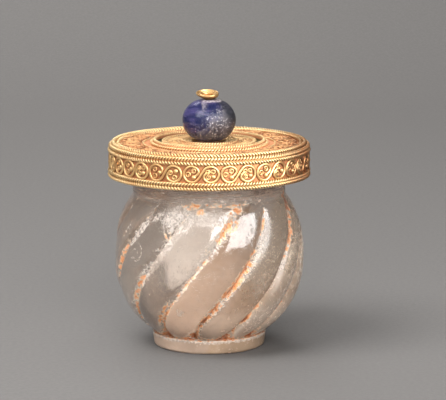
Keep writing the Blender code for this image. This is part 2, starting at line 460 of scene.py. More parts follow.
def arc(centre: Point, radius: float, start: float, end: float, steps: int) -> list[Point]:
    """Points on an arc.

    Args:
        centre: Middle of the arc.
        radius: Its radius.
        start: First angle in degrees.
        end: Last angle in degrees.
        steps: Number of steps between them.

    Returns:
        The points, both ends included.
    """
    angles = [math.radians(start + (end - start) * i / steps) for i in range(steps + 1)]
    return [(centre[0] + radius * math.cos(a), centre[1] + radius * math.sin(a)) for a in angles]


def rounded(outline: list[Point], radius: float, steps: int = 3) -> list[Point]:
    """Rounds the corners of a closed outline.

    Args:
        outline: Corners in order.
        radius: Rounding, less where a side is short.
        steps: Steps along each rounding.

    Returns:
        The rounded outline.
    """
    result = []
    count = len(outline)
    for i, corner in enumerate(outline):
        here = Vector(corner)
        before = Vector(outline[i - 1]) - here
        after = Vector(outline[(i + 1) % count]) - here
        reach = min(radius, 0.45 * before.length, 0.45 * after.length)
        start = here + before.normalized() * reach
        end = here + after.normalized() * reach
        for k in range(steps + 1):
            t = k / steps
            point = start * (1 - t) ** 2 + here * (2 * t * (1 - t)) + end * t**2
            result.append((point.x, point.y))
    return result


def turned(name: str, outline: list[Point], segments: int, closed: bool = True) -> bpy.types.Object:
    """Turns an outline of (radius, height) about the jar's axis.

    Args:
        name: Name of the finished object.
        outline: The section; an open one starts and ends on the axis.
        segments: Number of steps round the axis.
        closed: Whether the outline's last point joins its first.

    Returns:
        The turned object, shaded smooth, with its faces outwards.
    """
    builder = bmesh.new()
    points = [builder.verts.new((radius * MM, 0.0, height * MM)) for radius, height in outline]
    pairs = list(zip(points, points[1:]))
    if closed:
        pairs.append((points[-1], points[0]))
    edges = [builder.edges.new(pair) for pair in pairs]
    bmesh.ops.spin(
        builder,
        geom=points + edges,
        cent=(0.0, 0.0, 0.0),
        axis=(0.0, 0.0, 1.0),
        angle=math.tau,
        steps=segments,
        use_merge=True,
    )
    bmesh.ops.remove_doubles(builder, verts=builder.verts, dist=MERGE_DISTANCE)
    bmesh.ops.recalc_face_normals(builder, faces=builder.faces)
    mesh = bpy.data.meshes.new(name)
    builder.to_mesh(mesh)
    builder.free()
    mesh.shade_smooth()
    mesh.set_sharp_from_angle(angle=SHARP_ANGLE)
    return link(bpy.data.objects.new(name, mesh))


def keep_amounts(mesh: bpy.types.Mesh, label: str, amounts: np.ndarray | list[float]) -> None:
    """Keeps one number with each of a mesh's points.

    Args:
        mesh: The mesh.
        label: The attribute's name.
        amounts: A number for each point.
    """
    layer = mesh.attributes.new(label, "FLOAT", "POINT")
    layer.data.foreach_set("value", np.asarray(amounts, np.float32))


def dress(piece: bpy.types.Object, slot: str, *materials: bpy.types.Material) -> bpy.types.Object:
    """Gives a piece its materials and the body that it rides on.

    Args:
        piece: The finished piece.
        slot: Not used.
        materials: Its materials, in the order of its faces' numbers.

    Returns:
        The piece.
    """
    piece.data.materials.clear()
    for material in materials:
        piece.data.materials.append(material)
    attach(piece, BODY)
    LOG.info("%s: %d faces", piece.name, len(piece.data.polygons))
    return piece


# Finishes


@dataclass(frozen=True)
class GoldFinish:
    """High-carat gold, bright on its crests, reddish to dark in its hollows with patina and painted shade,
    and darkened at both ends of the lid as painted shade.

    Attributes:
        name: The material's name.
        bright: Colour of the crests.
        red: Second colour, in soft patches.
        hollow: Colour of the hollows, patina with painted shade.
        dark: Colour of the grime, also of the painted shade in the hollows and at the lid's ends.
        roughness: Roughness of the crests.
        grime: Strength of the grime.
        trench_shadow_colour: Colour of the painted shadow in the tray's trench.
        right_end_shade: Where the painted shade at the lid's right end starts and is full, along x.
        left_end_shade: The same at its left end.
        bump: Depth of the dents.
    """

    name: str
    bright: Colour
    red: Colour
    hollow: Colour
    dark: Colour
    roughness: float
    grime: float
    trench_shadow_colour: Colour = (0.085, 0.06, 0.022)
    right_end_shade: Point = (10.0, 15.0)
    left_end_shade: Point = (-14.0, -18.0)
    bump: float = 0.03

    def material(self) -> bpy.types.Material:
        """Builds the material.

        How far a point shows wear, from 0 in a hollow to 1 and below 0 in the trench, is kept with the
        mesh; its low end is partly painted shade.

        Returns:
            The material.
        """
        s = Surface(self.name)
        broad = s.noise(s.place, 0.35, 2.0)
        fine = s.noise(s.place, 3.2, 4.0)
        grain = s.noise(s.place, 14.0, 3.0)
        kept = s.attribute("worn")
        # Low amounts mark hollows, the lower sides of wires and the cores of ropes: their dark colours are
        # partly patina and partly painted shade.
        worn = (kept + 0.5 * (fine - 0.5)).step(0.05, 0.85)
        body = s.mix(broad.step(0.42, 0.68), self.bright, self.red)
        stain = (fine * 0.6 + broad * 0.4).step(0.56, 0.70) * self.grime
        hollows = s.mix(fine.step(0.30, 0.48), self.dark, self.hollow)
        base = s.mix(worn, hollows, s.mix(stain, body, self.dark))
        # Painted shade at both ends of the lid, where the band turns away from the light.
        x = s.split(s.place)[0]
        ends = x.step(*self.right_end_shade).at_least(x.step(*self.left_end_shade))
        end_shade_colour = s.mix(fine.step(0.44, 0.58), self.dark, self.hollow)
        base = s.mix(ends * (0.65 + 0.35 * fine.step(0.40, 0.60)), base, end_shade_colour)
        # Painted shadow of the tray's wall in its trench.
        base = s.mix(kept.step(-0.1, -0.6), base, self.trench_shadow_colour)
        rough = self.roughness + 0.22 * (fine - 0.5) + 0.25 * (stain + 1.0 - worn)
        height = grain * 0.6 + fine * 0.8
        gold = s.principled(
            base_color=base,
            metallic=0.45 + 0.30 * worn,
            roughness=rough.at_most(0.8),
            normal=s.bump(height, self.bump, 0.6),
        )
        return s.done(gold)


class Gold(Enum):
    """The golds of the lid and the pin, each with its own dirt and wear; the top wire is a darker copy as
    painted shade and the rope a lighter copy as painted highlight.
    """

    SHEET = GoldFinish(
        "sheet gold", (0.65, 0.305, 0.137), (0.59, 0.25, 0.12), (0.53, 0.225, 0.10),
        (0.18, 0.065, 0.026), roughness=0.50, grime=0.8,
    )
    WIRE = GoldFinish(
        "wire gold", (0.87, 0.575, 0.262), (0.81, 0.465, 0.20), (0.30, 0.115, 0.04),
        (0.11, 0.035, 0.01), roughness=0.36, grime=0.35,
    )
    # A darker copy of the wire gold for the lid's top: painted shade where the lights fall strongest.
    TOP_WIRE = GoldFinish(
        "top wire gold", (0.68, 0.375, 0.165), (0.62, 0.30, 0.13), (0.25, 0.085, 0.03),
        (0.12, 0.04, 0.012), roughness=0.42, grime=0.5,
    )
    # A lighter, creamier copy of the wire gold for the ropes: painted highlight.
    ROPE = GoldFinish(
        "rope gold", (1.0, 0.77, 0.40), (0.95, 0.64, 0.30), (0.36, 0.145, 0.052),
        (0.11, 0.035, 0.01), roughness=0.36, grime=0.3,
    )
    PIN = GoldFinish(
        "pin gold", (0.64, 0.40, 0.165), (0.58, 0.33, 0.13), (0.42, 0.20, 0.06),
        (0.22, 0.09, 0.02), roughness=0.30, grime=0.05,
    )


@dataclass(frozen=True)
class CrystalFinish:
    """Worn rock crystal: see-through, a little milky, with frosted scratches and soil in its grooves.

    The front's right side is dull, and its warm stain deepens towards the neck. Just above the foot the
    cloudiness is paler, as painted light where light passes through the lower flutes. Soil is cream at the
    edges of a patch and deep where it is thickest. Bump and crust are the depths of the stone's unevenness
    and of the soil.
    """

    name: str = "worn rock crystal"
    tint: Colour = (0.95, 0.855, 0.765)
    stain: Colour = (0.76, 0.62, 0.47)
    milk: Colour = (0.60, 0.43, 0.32)
    stained_milk: Colour = (0.54, 0.37, 0.245)
    lit_milk: Colour = (0.93, 0.70, 0.53)
    frost: Colour = (0.76, 0.70, 0.645)
    cream: Colour = (0.88, 0.74, 0.58)
    soil_pale: Colour = (0.84, 0.51, 0.29)
    soil_orange: Colour = (0.74, 0.28, 0.095)
    soil_deep: Colour = (0.30, 0.09, 0.025)
    bump: float = 0.035
    crust: float = 0.10

    def material(self) -> bpy.types.Material:
        """Builds the material; soil, frost and cloudiness, which also carries painted light, are amounts
        kept with the mesh's points.

        Returns:
            The material.
        """
        s = Surface(self.name)
        x, y, z = s.split(s.place)
        soil_here = s.attribute("soil")
        frost_here = s.attribute("frost")

        # Patterns of all sizes
        broad = s.noise(s.place, 0.22, 3.0)
        mid = s.noise(s.place, 1.3, 4.0)
        fine = s.noise(s.place, 5.5, 4.0, 0.65)
        warped = s.vector("ADD", s.place, s.scaled(s.join(fine, mid, broad), 0.9))
        crackle = 1.0 - s.cells(warped, 1.9, "DISTANCE_TO_EDGE").step(0.02, 0.17)
        gritty = s.noise(s.place, 2.6, 5.0, 0.75)
        crumbs = gritty.step(0.44, 0.58)
        pits = 1.0 - s.cells(s.place, 2.6, "F1").step(0.05, 0.11)
        pitted = pits * s.noise(s.place, 0.8).step(0.50, 0.62)
        spots = 1.0 - s.cells(s.place, 1.15, "F1").step(0.04, 0.13)
        specks = spots * s.noise(s.place, 0.45).step(0.50, 0.56)
        scratches = self._scratches(s)

        # Frost and fine wear
        web = (crackle * 0.6).at_least(crumbs)
        cover = (frost_here + 0.8 * (mid - 0.5) + 1.1 * (gritty - 0.5)).step(0.24, 0.88)
        frost = (cover * (0.24 + 0.66 * web)).at_least(self._bruises(s) * (0.4 + 0.6 * crumbs))
        wear = (scratches * 0.55 + pitted * 0.6).at_most(1.0)

        # Cloudiness and soil, streaked round the neck; the neck's cloudiness is partly painted light
        streaks = s.noise(s.join(x * 0.25, y * 0.25, z * 3.2), 1.0, 4.0, 0.6) - 0.5
        neck = z.step(22.6, 24.2)
        milk = s.attribute("milk") * (0.6 + 0.8 * broad) + 0.12 * (mid - 0.5) + 1.2 * neck * streaks
        milk = milk.at_least(0.01).at_most(1.0)
        broken = 0.25 + 0.95 * s.noise(s.place, 1.5, 4.0, 0.6).step(0.38, 0.58)
        crust = soil_here * broken + 2.1 * (gritty - 0.5) + 1.3 * neck * streaks
        cream = crust.step(0.40, 0.54).at_least(specks * 0.8)
        mottle = s.noise(s.vector("ADD", s.place, (7.0, 3.0, 5.0)), 2.8, 3.0, 0.7)
        orange = (crust.step(0.50, 0.70) * mottle.step(0.64, 0.53)).at_least(crust.step(0.85, 1.10))

        # Dark specks low on the front
        pepper = 1.0 - s.cells(s.vector("ADD", s.place, (3.0, 1.0, 4.0)), 2.3, "F1").step(0.14, 0.32)
        pepper = pepper * mid.step(0.44, 0.56) * x.step(1.0, 5.0) * y.step(2.0, -2.0)
        pepper = pepper * z.step(3.5, 5.0) * z.step(17.0, 12.0)

        # The clear stone, dull on the front's right side
        dull = (x - 0.45 * (z - 17.0)).step(6.5, 7.7) * y.step(4.0, 0.0)
        relief = fine * 0.4 + mid * 0.3 - scratches * 0.4 - pitted * 0.8 + frost * 1.6
        normal = s.bump(relief * (1.0 - 0.85 * dull), self.bump, 0.8)
        polish = 0.04 + 0.08 * mid.step(0.4, 0.7) + 0.4 * frost + 0.17 * dull
        clear = s.principled(
            base_color=s.mix(dull * z.step(9.5, 15.0), self.tint, self.stain),
            roughness=polish.at_most(0.5),
            ior=QUARTZ_IOR,
            specular_ior_level=0.9,
            transmission_weight=1.0,
            coat_weight=0.75 * frost.step(0.45, 0.05) * (1.0 - dull),
            coat_roughness=0.04,
            normal=normal,
        )

        # The cloudy stone over it
        milky = s.mix(dull, self.milk, self.stained_milk)
        # Painted light: paler cloudiness just above the foot, where light passes through the lower flutes.
        milky = s.mix(z.step(10.0, 6.0) * z.step(2.1, 2.5), milky, self.lit_milk)
        cloudy = s.principled(
            base_color=s.mix(frost.at_least(wear), milky, self.frost),
            roughness=0.34,
            ior=1.5,
            specular_ior_level=0.3,
            normal=normal,
        )
        veil = milk.at_least(frost * 0.72).at_least(wear * 0.8)
        stone = s.blend(veil, clear, cloudy)

        # The soil on top
        tone = mottle * 0.7 + mid * 0.3
        pale = s.mix(tone.step(0.46, 0.56), self.soil_orange, self.soil_pale)
        thick = (soil_here - 1.35 + 2.0 * (tone - 0.5)).step(-0.1, 0.1)
        deep = thick.at_least(1.0 - tone.step(0.38, 0.45))
        colour = s.mix(orange, self.cream, s.mix(deep, pale, self.soil_deep))
        colour = s.mix(pepper * (1.0 - cream), colour, self.soil_deep)
        earth = s.principled(base_color=colour, roughness=0.85, normal=s.bump(fine + gritty, self.crust))
        return s.done(s.blend(cream.at_least(pepper * 0.7), stone, earth))

    @staticmethod
    def _bruises(s: Surface) -> Field:
        """Round bruises under the skin: fine rings about a few places on the front.

        Args:
            s: The surface.

        Returns:
            How strongly a point is bruised.
        """
        total = None
        for place, radius, width in (
            ((-11.2, -9.4, 16.6), 1.45, 0.13),
            ((-11.3, -9.3, 16.3), 0.75, 0.12),
            ((-4.4, -12.6, 7.6), 0.45, 0.45),
            ((2.6, -13.3, 10.4), 0.55, 0.10),
        ):
            inputs = {0: s.place, 1: place}
            away = s.field("ShaderNodeVectorMath", {"operation": "DISTANCE"}, inputs, "Value")
            ragged = away + 0.8 * (s.noise(s.place, 1.6, 3.0) - 0.5)
            ring = 1.0 - abs(ragged - radius).step(0.3 * width, width)
            total = ring if total is None else total.at_least(ring)
        return total * 0.6

    @staticmethod
    def _scratches(s: Surface) -> Field:
        """Fine straight scratches in two directions, broken up by noise.

        Args:
            s: The surface.

        Returns:
            How strongly a point is scratched.
        """
        total = None
        for turn, scale in (((0.3, 0.2, 0.9), 1.1), ((1.1, -0.4, 2.2), 0.8)):
            inputs = {"Vector": s.place, "Rotation": turn, "Scale": (9.0, 0.35, 2.0)}
            mapped = s.field("ShaderNodeMapping", None, inputs)
            line = s.noise(mapped, scale, 2.0, 0.5)
            thin = 1.0 - abs(line - 0.5).step(0.0, 0.012)
            gate = s.noise(s.place, 0.55 * scale, 2.0).step(0.52, 0.64)
            total = thin * gate if total is None else total.at_least(thin * gate)
        return total


@dataclass(frozen=True)
class BoreFinish:
    """The drilled cavity's wall: ground, not polished, and filmed with what the jar once held, with a
    painted reflection of a softbox over its upper part.

    Attributes:
        name: The material's name.
        film: Colour of the film, below its level.
        pale: Colour of the painted reflection on the wall above it.
        level: Height of the film's upper edge on the axis, where the painted reflection begins.
        tilt: How much that edge rises for each millimetre along x.
    """

    name: str = "drilled cavity wall"
    film: Colour = (0.58, 0.40, 0.285)
    pale: Colour = (1.0, 0.97, 0.94)
    level: float = 15.7
    tilt: float = 1.1

    def material(self) -> bpy.types.Material:
        """Builds the material.

        Returns:
            The material.
        """
        s = Surface(self.name)
        x, y, z = s.split(s.place)
        broad = s.noise(s.place, 0.3, 3.0)
        fine = s.noise(s.place, 2.5, 4.0)
        rings = s.noise(s.join(x * 0.05, y * 0.05, z * 3.0), 1.0, 2.0)
        # Painted reflection: above a slanting line the wall is near white, below it the film shows.
        level = (z - self.tilt * x - self.level + 2.0 * (broad - 0.5)).step(-0.2, 0.2)
        colour = s.mix((level * 0.8 + 0.4 * (fine - 0.3)).at_most(1.0), self.film, self.pale)
        wall = s.principled(
            base_color=colour,
            roughness=0.45 + 0.25 * fine,
            ior=QUARTZ_IOR,
            transmission_weight=0.05,
            normal=s.bump(rings * 0.6 + fine * 0.4, 0.05, 0.6),
        )
        return s.done(wall)


@dataclass(frozen=True)
class BeadFinish:
    """Blue stone, deep on one side and clear with white specks and clouds on the other; the specks are
    wear with painted glints.

    Deep and violet are the bands inside the stone, with matt twins for its skin. Smoke, dark and grey
    are the clear side, pale its abraded places with a painted sheen, and the centre is the bead's middle.
    Dark also paints shade along the upper right rim.
    """

    name: str = "banded blue stone"
    deep: Colour = (0.02, 0.035, 0.22)
    violet: Colour = (0.11, 0.11, 0.32)
    smoke: Colour = (0.22, 0.22, 0.27)
    matt_deep: Colour = (0.016, 0.02, 0.085)
    matt_violet: Colour = (0.062, 0.057, 0.185)
    dark: Colour = (0.022, 0.022, 0.032)
    grey: Colour = (0.085, 0.075, 0.088)
    pale: Colour = (0.20, 0.18, 0.195)
    glint_white: Colour = (0.88, 0.84, 0.87)
    flaw_and_highlight: Colour = (0.35, 0.30, 0.31)
    low_left_orange: Colour = (0.62, 0.36, 0.28)
    centre: Place = (0.0, 0.0, 35.8)

    def material(self) -> bpy.types.Material:
        """Builds the material; the clear side is towards +X and down.

        Returns:
            The material.
        """
        s = Surface(self.name)
        x, y, z = s.split(s.vector("SUBTRACT", s.place, self.centre))
        bands = s.noise(s.join(x * 0.25, y * 0.25, z * 1.1), 1.0, 3.0)
        clouds = s.noise(s.place, 0.8, 3.0, 0.6)
        fine = s.noise(s.place, 2.8, 4.0, 0.8)

        # The clear side lies across the bands, with a ragged border
        lean = x * 0.62 - z * 0.78 + 2.0 * (bands - 0.5) + 3.0 * (clouds - 0.5) + 1.5 * (fine - 0.5)
        clear_side = lean.step(-1.6, 1.6)

        in_band = bands.step(0.43, 0.57)
        picked = s.split(s.cells(s.place, 3.0, "F1", "Color"))[0].step(0.48, 0.54)
        dots = (1.0 - s.cells(s.place, 3.0, "F1").step(0.14, 0.30)) * picked
        # White specks and pale patches on the clear side: wear with painted glints and sheen of the
        # lights.
        glint_specks = dots.at_least(fine.step(0.56, 0.66) * 0.8) * (0.10 + 0.90 * clear_side)
        rubbed_sheen = fine.step(0.44, 0.60) * clear_side
        flaw_and_highlight = self._flaws_and_highlight(x, y, z) * (0.35 + 0.65 * fine.step(0.36, 0.54))
        # Painted shade: the stone darkens along its upper right rim.
        rim = (x * 0.8 + z * 0.6).step(2.3, 3.3)

        # The skin, and the stone under it
        blue = s.mix(in_band, self.matt_deep, self.matt_violet)
        ground = s.mix(clear_side, blue, s.mix(clouds.step(0.40, 0.60), self.dark, self.grey))
        ground = s.mix(rim, s.mix(rubbed_sheen, ground, self.pale), self.dark)
        colour = s.mix(glint_specks * (1.0 - rim * 0.8), ground, self.glint_white)
        # Orange specks towards the bottom left.
        colour = s.mix(dots * (x * -0.5 - z).step(1.4, 2.6), colour, self.low_left_orange)
        normal = s.bump(fine * (0.4 + clear_side), 0.10, 0.8)
        skin = s.mix(flaw_and_highlight, colour, self.flaw_and_highlight)
        dull = s.principled(base_color=skin, roughness=0.45, specular_ior_level=0.2, normal=normal)
        inner = s.mix(clear_side, s.mix(in_band, self.deep, self.violet), self.smoke)
        gem = s.principled(
            base_color=inner,
            roughness=0.12 + 0.30 * clear_side,
            ior=1.54,
            specular_ior_level=0.35,
            transmission_weight=0.96,
            normal=normal,
        )
        veil = (0.40 + 0.30 * clear_side + 0.25 * rubbed_sheen + 0.8 * glint_specks).at_least(rim * 0.85)
        return s.done(s.blend(veil.at_least(flaw_and_highlight).at_most(0.96), gem, dull))

    @staticmethod
    def _flaws_and_highlight(x: Field, y: Field, z: Field) -> Field:
        """Pale flaws near the drilled hole, its wall and a healed wedge before it, and a painted highlight
        along its upper edge.

        Args:
            x: Distance from the axis towards +X.
            y: Distance from the axis towards +Y.
            z: Height over the bead's middle.

        Returns:
            How strongly a point is flawed.
        """
        bored = ((x * x + y * y) ** 0.5).step(1.25, 1.08)
        fall = 3.3 - z
        left, right = x - fall * 0.27 + 1.45, 0.42 - fall * 0.52 - x
        wedge = left.step(0.0, 0.25) * right.step(0.0, 0.9) * y.step(-0.5, -1.5)
        # Painted highlight: a pale strip along the top, under the pin's cup.
        edge = z.step(2.98, 3.14) * abs(x - 0.4).step(1.7, 1.3)
        return (bored * 0.85).at_least(wedge * 0.6).at_least(edge)


@dataclass(frozen=True)
class StudioFinish:
    """Matt paper under and behind the jar."""

    name: str = "studio paper"
    colour: Colour = (0.115, 0.1095, 0.1055)
    spread: Point = (0.93, 1.07)

    def material(self) -> bpy.types.Material:
        """Builds the material, with a fine speckle.

        Returns:
            The material.
        """
        s = Surface(self.name)
        speckle = s.noise(s.place, 1.4, 4.0, 0.7)
        low, high = (tuple(share * c for c in self.colour) for share in self.spread)
        tone = s.mix(speckle.step(0.3, 0.7), low, high)
        return s.done(s.principled(base_color=tone, roughness=0.8, specular_ior_level=0.2))


# The crystal jar


@dataclass(frozen=True)
class Mark:
    """A patch of wear or soil on the fluted body, which may follow a groove.

    Attributes:
        groove: Number of the groove that it follows, or None.
        shift: Degrees from that groove, or from the front, towards +X.
        height: Its middle's height.
        width: Half its width, in degrees.
        length: Half its length up the body.
        amount: Its strength in the middle.
    """

    groove: int | None
    shift: float
    height: float
    width: float
    length: float
    amount: float


class Ring(NamedTuple):
    """One ring of the jar's mesh: its radius and height, and whether it is fluted or in the cavity."""

    radius: float
    height: float
    fluted: bool = False
    inside: bool = False


@dataclass
class CrystalJar:
    """The jar cut from one crystal, with slanting flutes, a plain neck and a drilled cavity.

    The shares are the flutes' widths in turn at the foot, halfway up and at the neck, from a start in
    degrees, as the hand spaced them.
    """

    # Outline
    foot_radius: float = 9.0
    foot_height: float = 2.2
    foot_taper: float = 0.2
    foot_rounding: float = 0.5
    foot_ledge: float = 0.4
    foot_edge: float = 0.12
    belly_radius: float = 14.93
    belly_rise: float = 11.1
    shoulder_rise: float = 10.9
    shoulder_power: float = 3.1
    neck_radius: float = 12.05
    rim_rounding: float = 0.4
    cavity_radius: float = 4.4
    cavity_rounding: float = 1.5
    centre_radius: float = 0.6
    base_thickness: float = 5.0

    # Flutes, and the pockets above the foot
    flute_depth: float = 0.65
    flute_power: float = 5.0
    flute_swell: float = 0.13
    flute_fade: float = 2.8
    pocket_depth: float = 1.0
    pocket_reach: float = 1.5
    pocket_power: float = 2.5
    waviness: float = 0.05

    # Strength of soil, frost and cloudiness; in the neck the cloudiness is partly painted light
    groove_start: float = 0.90
    soil_in_grooves: float = 0.30
    soil_low_down: float = 0.35
    soil_in_pockets: float = 2.4
    soil_on_ledge: float = 0.68
    soil_limit: float = 1.36
    frost_on_edge: float = 0.95
    frost_in_grooves: float = 0.5
    milk_in_foot: float = 0.8
    # Raised to lighten the neck in the lid's shadow: partly painted light.
    milk_and_light_in_neck: float = 0.40
    milky_foot: float = 2.3
    milky_neck: float = 24.4
    milky_side: float = 70.0

    # Mesh, and the flutes' places
    columns_per_flute: int = 24
    belly_rings: int = 84
    shoulder_rings: int = 70
    foot_start: float = -101.0
    foot_shares: tuple[float, ...] = (
        28.5, 24.0, 30.0, 32.5, 30.5, 27.0, 26.5, 27.0, 27.0, 26.5, 27.0, 26.5, 27.0,
    )
    middle_start: float = -72.0
    middle_shares: tuple[float, ...] = (
        29.5, 31.5, 30.0, 28.5, 22.0, 27.5, 27.0, 27.5, 27.5, 27.0, 27.5, 27.0, 27.5,
    )
    neck_start: float = -38.5
    neck_shares: tuple[float, ...] = (
        28.0, 31.0, 23.5, 30.0, 27.0, 27.5, 28.0, 27.5, 27.5, 27.5, 27.5, 27.5, 27.5,
    )

    # Patches that the photograph shows, and a few on the back
    soil_marks: tuple[Mark, ...] = (
        Mark(0, 0.0, 14.3, 3.4, 3.4, 1.25),
        Mark(1, -0.5, 12.0, 2.6, 1.1, 1.2),
        Mark(1, -0.5, 9.6, 2.6, 1.2, 1.2),
        Mark(1, 0.0, 6.2, 2.8, 1.8, 1.3),
        Mark(1, 0.0, 9.0, 3.4, 4.6, 0.62),
        Mark(2, -3.0, 7.0, 1.8, 2.4, 1.1),
        Mark(2, 0.5, 6.0, 1.8, 3.8, 1.2),
        Mark(2, 0.5, 11.5, 2.2, 4.6, 0.66),
        Mark(2, 0.0, 15.5, 2.2, 1.1, 0.9),
        Mark(2, 0.0, 20.5, 3.6, 2.0, 1.2),
        Mark(2, 4.0, 21.0, 3.0, 1.4, 0.75),
        Mark(2, 1.0, 23.2, 5.0, 0.8, 1.1),
        Mark(3, 0.0, 21.5, 1.5, 2.8, 0.85),
        Mark(3, -1.0, 17.0, 2.2, 0.9, 1.1),
        Mark(3, 0.0, 14.6, 3.1, 1.7, 1.3),
        Mark(3, 0.0, 11.5, 3.4, 3.2, 1.3),
        Mark(3, 0.0, 8.0, 3.2, 2.6, 1.3),
        Mark(3, 0.0, 6.0, 2.8, 1.6, 1.6),
        Mark(3, 0.5, 3.6, 2.4, 1.5, 1.3),
        Mark(4, 0.0, 23.0, 3.2, 2.4, 2.0),
        Mark(4, 0.0, 18.9, 3.0, 3.4, 1.35),
        Mark(4, 0.0, 8.3, 1.8, 0.9, 1.1),
        Mark(4, 0.0, 6.2, 2.2, 1.0, 1.6),
        Mark(5, 0.0, 8.0, 1.5, 3.8, 0.8),
        Mark(7, 0.0, 11.0, 2.2, 4.0, 0.85),
        Mark(9, 0.0, 15.0, 2.0, 3.0, 0.85),
        Mark(10, 0.0, 6.5, 2.2, 2.6, 1.0),
        Mark(12, 0.0, 12.0, 2.2, 4.0, 0.85),
        Mark(None, -11.0, 24.0, 8.0, 0.5, 1.0),
        Mark(None, -6.0, 23.4, 3.0, 0.7, 1.0),
        Mark(None, -27.0, 19.6, 2.6, 0.8, 1.0),
        Mark(None, 16.0, 24.2, 24.0, 0.4, 0.72),
        Mark(None, -1.0, 17.2, 3.0, 1.2, 0.45),
    )
    frost_marks: tuple[Mark, ...] = (
        Mark(0, 3.0, 19.5, 5.0, 2.8, 0.95),
        Mark(0, 9.0, 22.5, 4.0, 1.5, 0.6),
        Mark(0, -9.0, 20.0, 3.0, 2.5, 0.5),
        Mark(1, 2.0, 18.0, 5.5, 4.2, 0.72),
        Mark(1, 0.0, 13.0, 5.6, 3.4, 0.82),
        Mark(1, -1.0, 8.5, 4.4, 4.6, 0.75),
        Mark(2, 0.5, 12.0, 2.4, 5.0, 0.9),
        Mark(2, -1.0, 17.5, 6.0, 3.4, 0.75),
        Mark(3, 3.0, 20.3, 3.0, 3.8, 0.24),
        Mark(3, 1.0, 9.0, 4.0, 6.0, 0.85),
        Mark(4, 1.0, 14.5, 2.4, 2.2, 0.45),
        Mark(5, -4.0, 11.0, 7.0, 6.0, 0.55),
        Mark(4, 12.0, 6.0, 10.0, 2.5, 0.30),
        Mark(7, 1.0, 16.0, 4.5, 4.5, 0.65),
        Mark(9, 0.0, 9.5, 4.0, 4.5, 0.65),
        Mark(11, 0.0, 14.0, 4.0, 5.0, 0.70),
        Mark(12, 1.0, 7.5, 3.6, 3.5, 0.65),
        Mark(None, -21.0, 22.0, 10.0, 2.6, 1.0),
        Mark(None, 0.0, 22.6, 14.0, 1.8, 0.6),
        Mark(None, 0.0, 24.6, 60.0, 0.9, 0.5),
        Mark(None, 30.0, 19.0, 10.0, 3.0, 0.40),
    )
    # Lighter cloudy patches that paint light: highlights on the shoulder, light left of the cavity and low
    # on the right.
    glow_marks: tuple[Mark, ...] = (
        Mark(None, -21.0, 22.0, 9.0, 2.2, 0.40),
        Mark(None, -1.0, 22.6, 8.0, 1.8, 0.30),
        Mark(None, -37.0, 10.0, 9.0, 5.5, 0.24),
        Mark(None, 22.0, 21.5, 8.0, 2.6, 0.14),
        Mark(None, 24.0, 4.6, 36.0, 4.0, 0.55),
    )

    @property
    def belly(self) -> float:
        """Height of the widest place."""
        return self.foot_height + self.belly_rise

    @property
    def shoulder(self) -> float:
        """Height at which the flutes end."""
        return self.foot_height + self.belly_rise + self.shoulder_rise

    @property
    def tip(self) -> float:
        """Share of the belly's radius that the crests have at the foot."""
        return (self.foot_radius - self.foot_ledge) / self.belly_radius

    @property
    def drop(self) -> float:
        """Half height of the ellipse that the crests follow below the belly."""
        return self.belly_rise / math.sqrt(1.0 - self.tip**2)

    def _crest(self, height: float) -> float:
        """Radius of the flutes' crests.

        Args:
            height: Height at which it is wanted.

        Returns:
            The radius.
        """
        if height <= self.belly:
            return self.belly_radius * math.sqrt(1.0 - ((self.belly - height) / self.drop) ** 2)
        share = (height - self.belly) / self.shoulder_rise
        swell = (self.belly_radius - self.neck_radius) * (1.0 - share**self.shoulder_power)
        return self.neck_radius + swell

    def _columns(self) -> tuple[np.ndarray, np.ndarray]:
        """Columns of the mesh.

        Returns:
            How far across its flute each column stands, from -1 to 1, and its angles in radians at the
            foot, halfway up and at the neck.
        """
        steps = np.linspace(-1.0, 1.0, self.columns_per_flute, endpoint=False)
        across = np.sign(steps) * (1.0 - (1.0 - np.abs(steps)) ** 1.5)
        angles = []
        for start, shares in (
            (self.foot_start, self.foot_shares),
            (self.middle_start, self.middle_shares),
            (self.neck_start, self.neck_shares),
        ):
            widths = np.radians(360.0 * np.array(shares) / sum(shares))
            edges = math.radians(start) + np.concatenate(([0.0], np.cumsum(widths)[:-1]))
            angles.append((edges[:, None] + widths[:, None] * (across[None, :] + 1.0) / 2.0).ravel())
        return np.tile(across, len(self.foot_shares)), np.array(angles)

    def _angle_at(self, height: float, angles: np.ndarray) -> np.ndarray:
        """Angles of the columns at a height, on a smooth line through the three known ones.

        Args:
            height: The height.
            angles: Their angles at the foot, halfway up and at the neck.

        Returns:
            The angles in radians.
        """
        share = min(max((height - self.foot_height) / (self.belly_rise + self.shoulder_rise), 0.0), 1.0)
        at_foot = angles[0] * (1.0 - share) * (1.0 - 2.0 * share)
        at_neck = angles[2] * share * (2.0 * share - 1.0)
        return at_foot + angles[1] * 4.0 * share * (1.0 - share) + at_neck

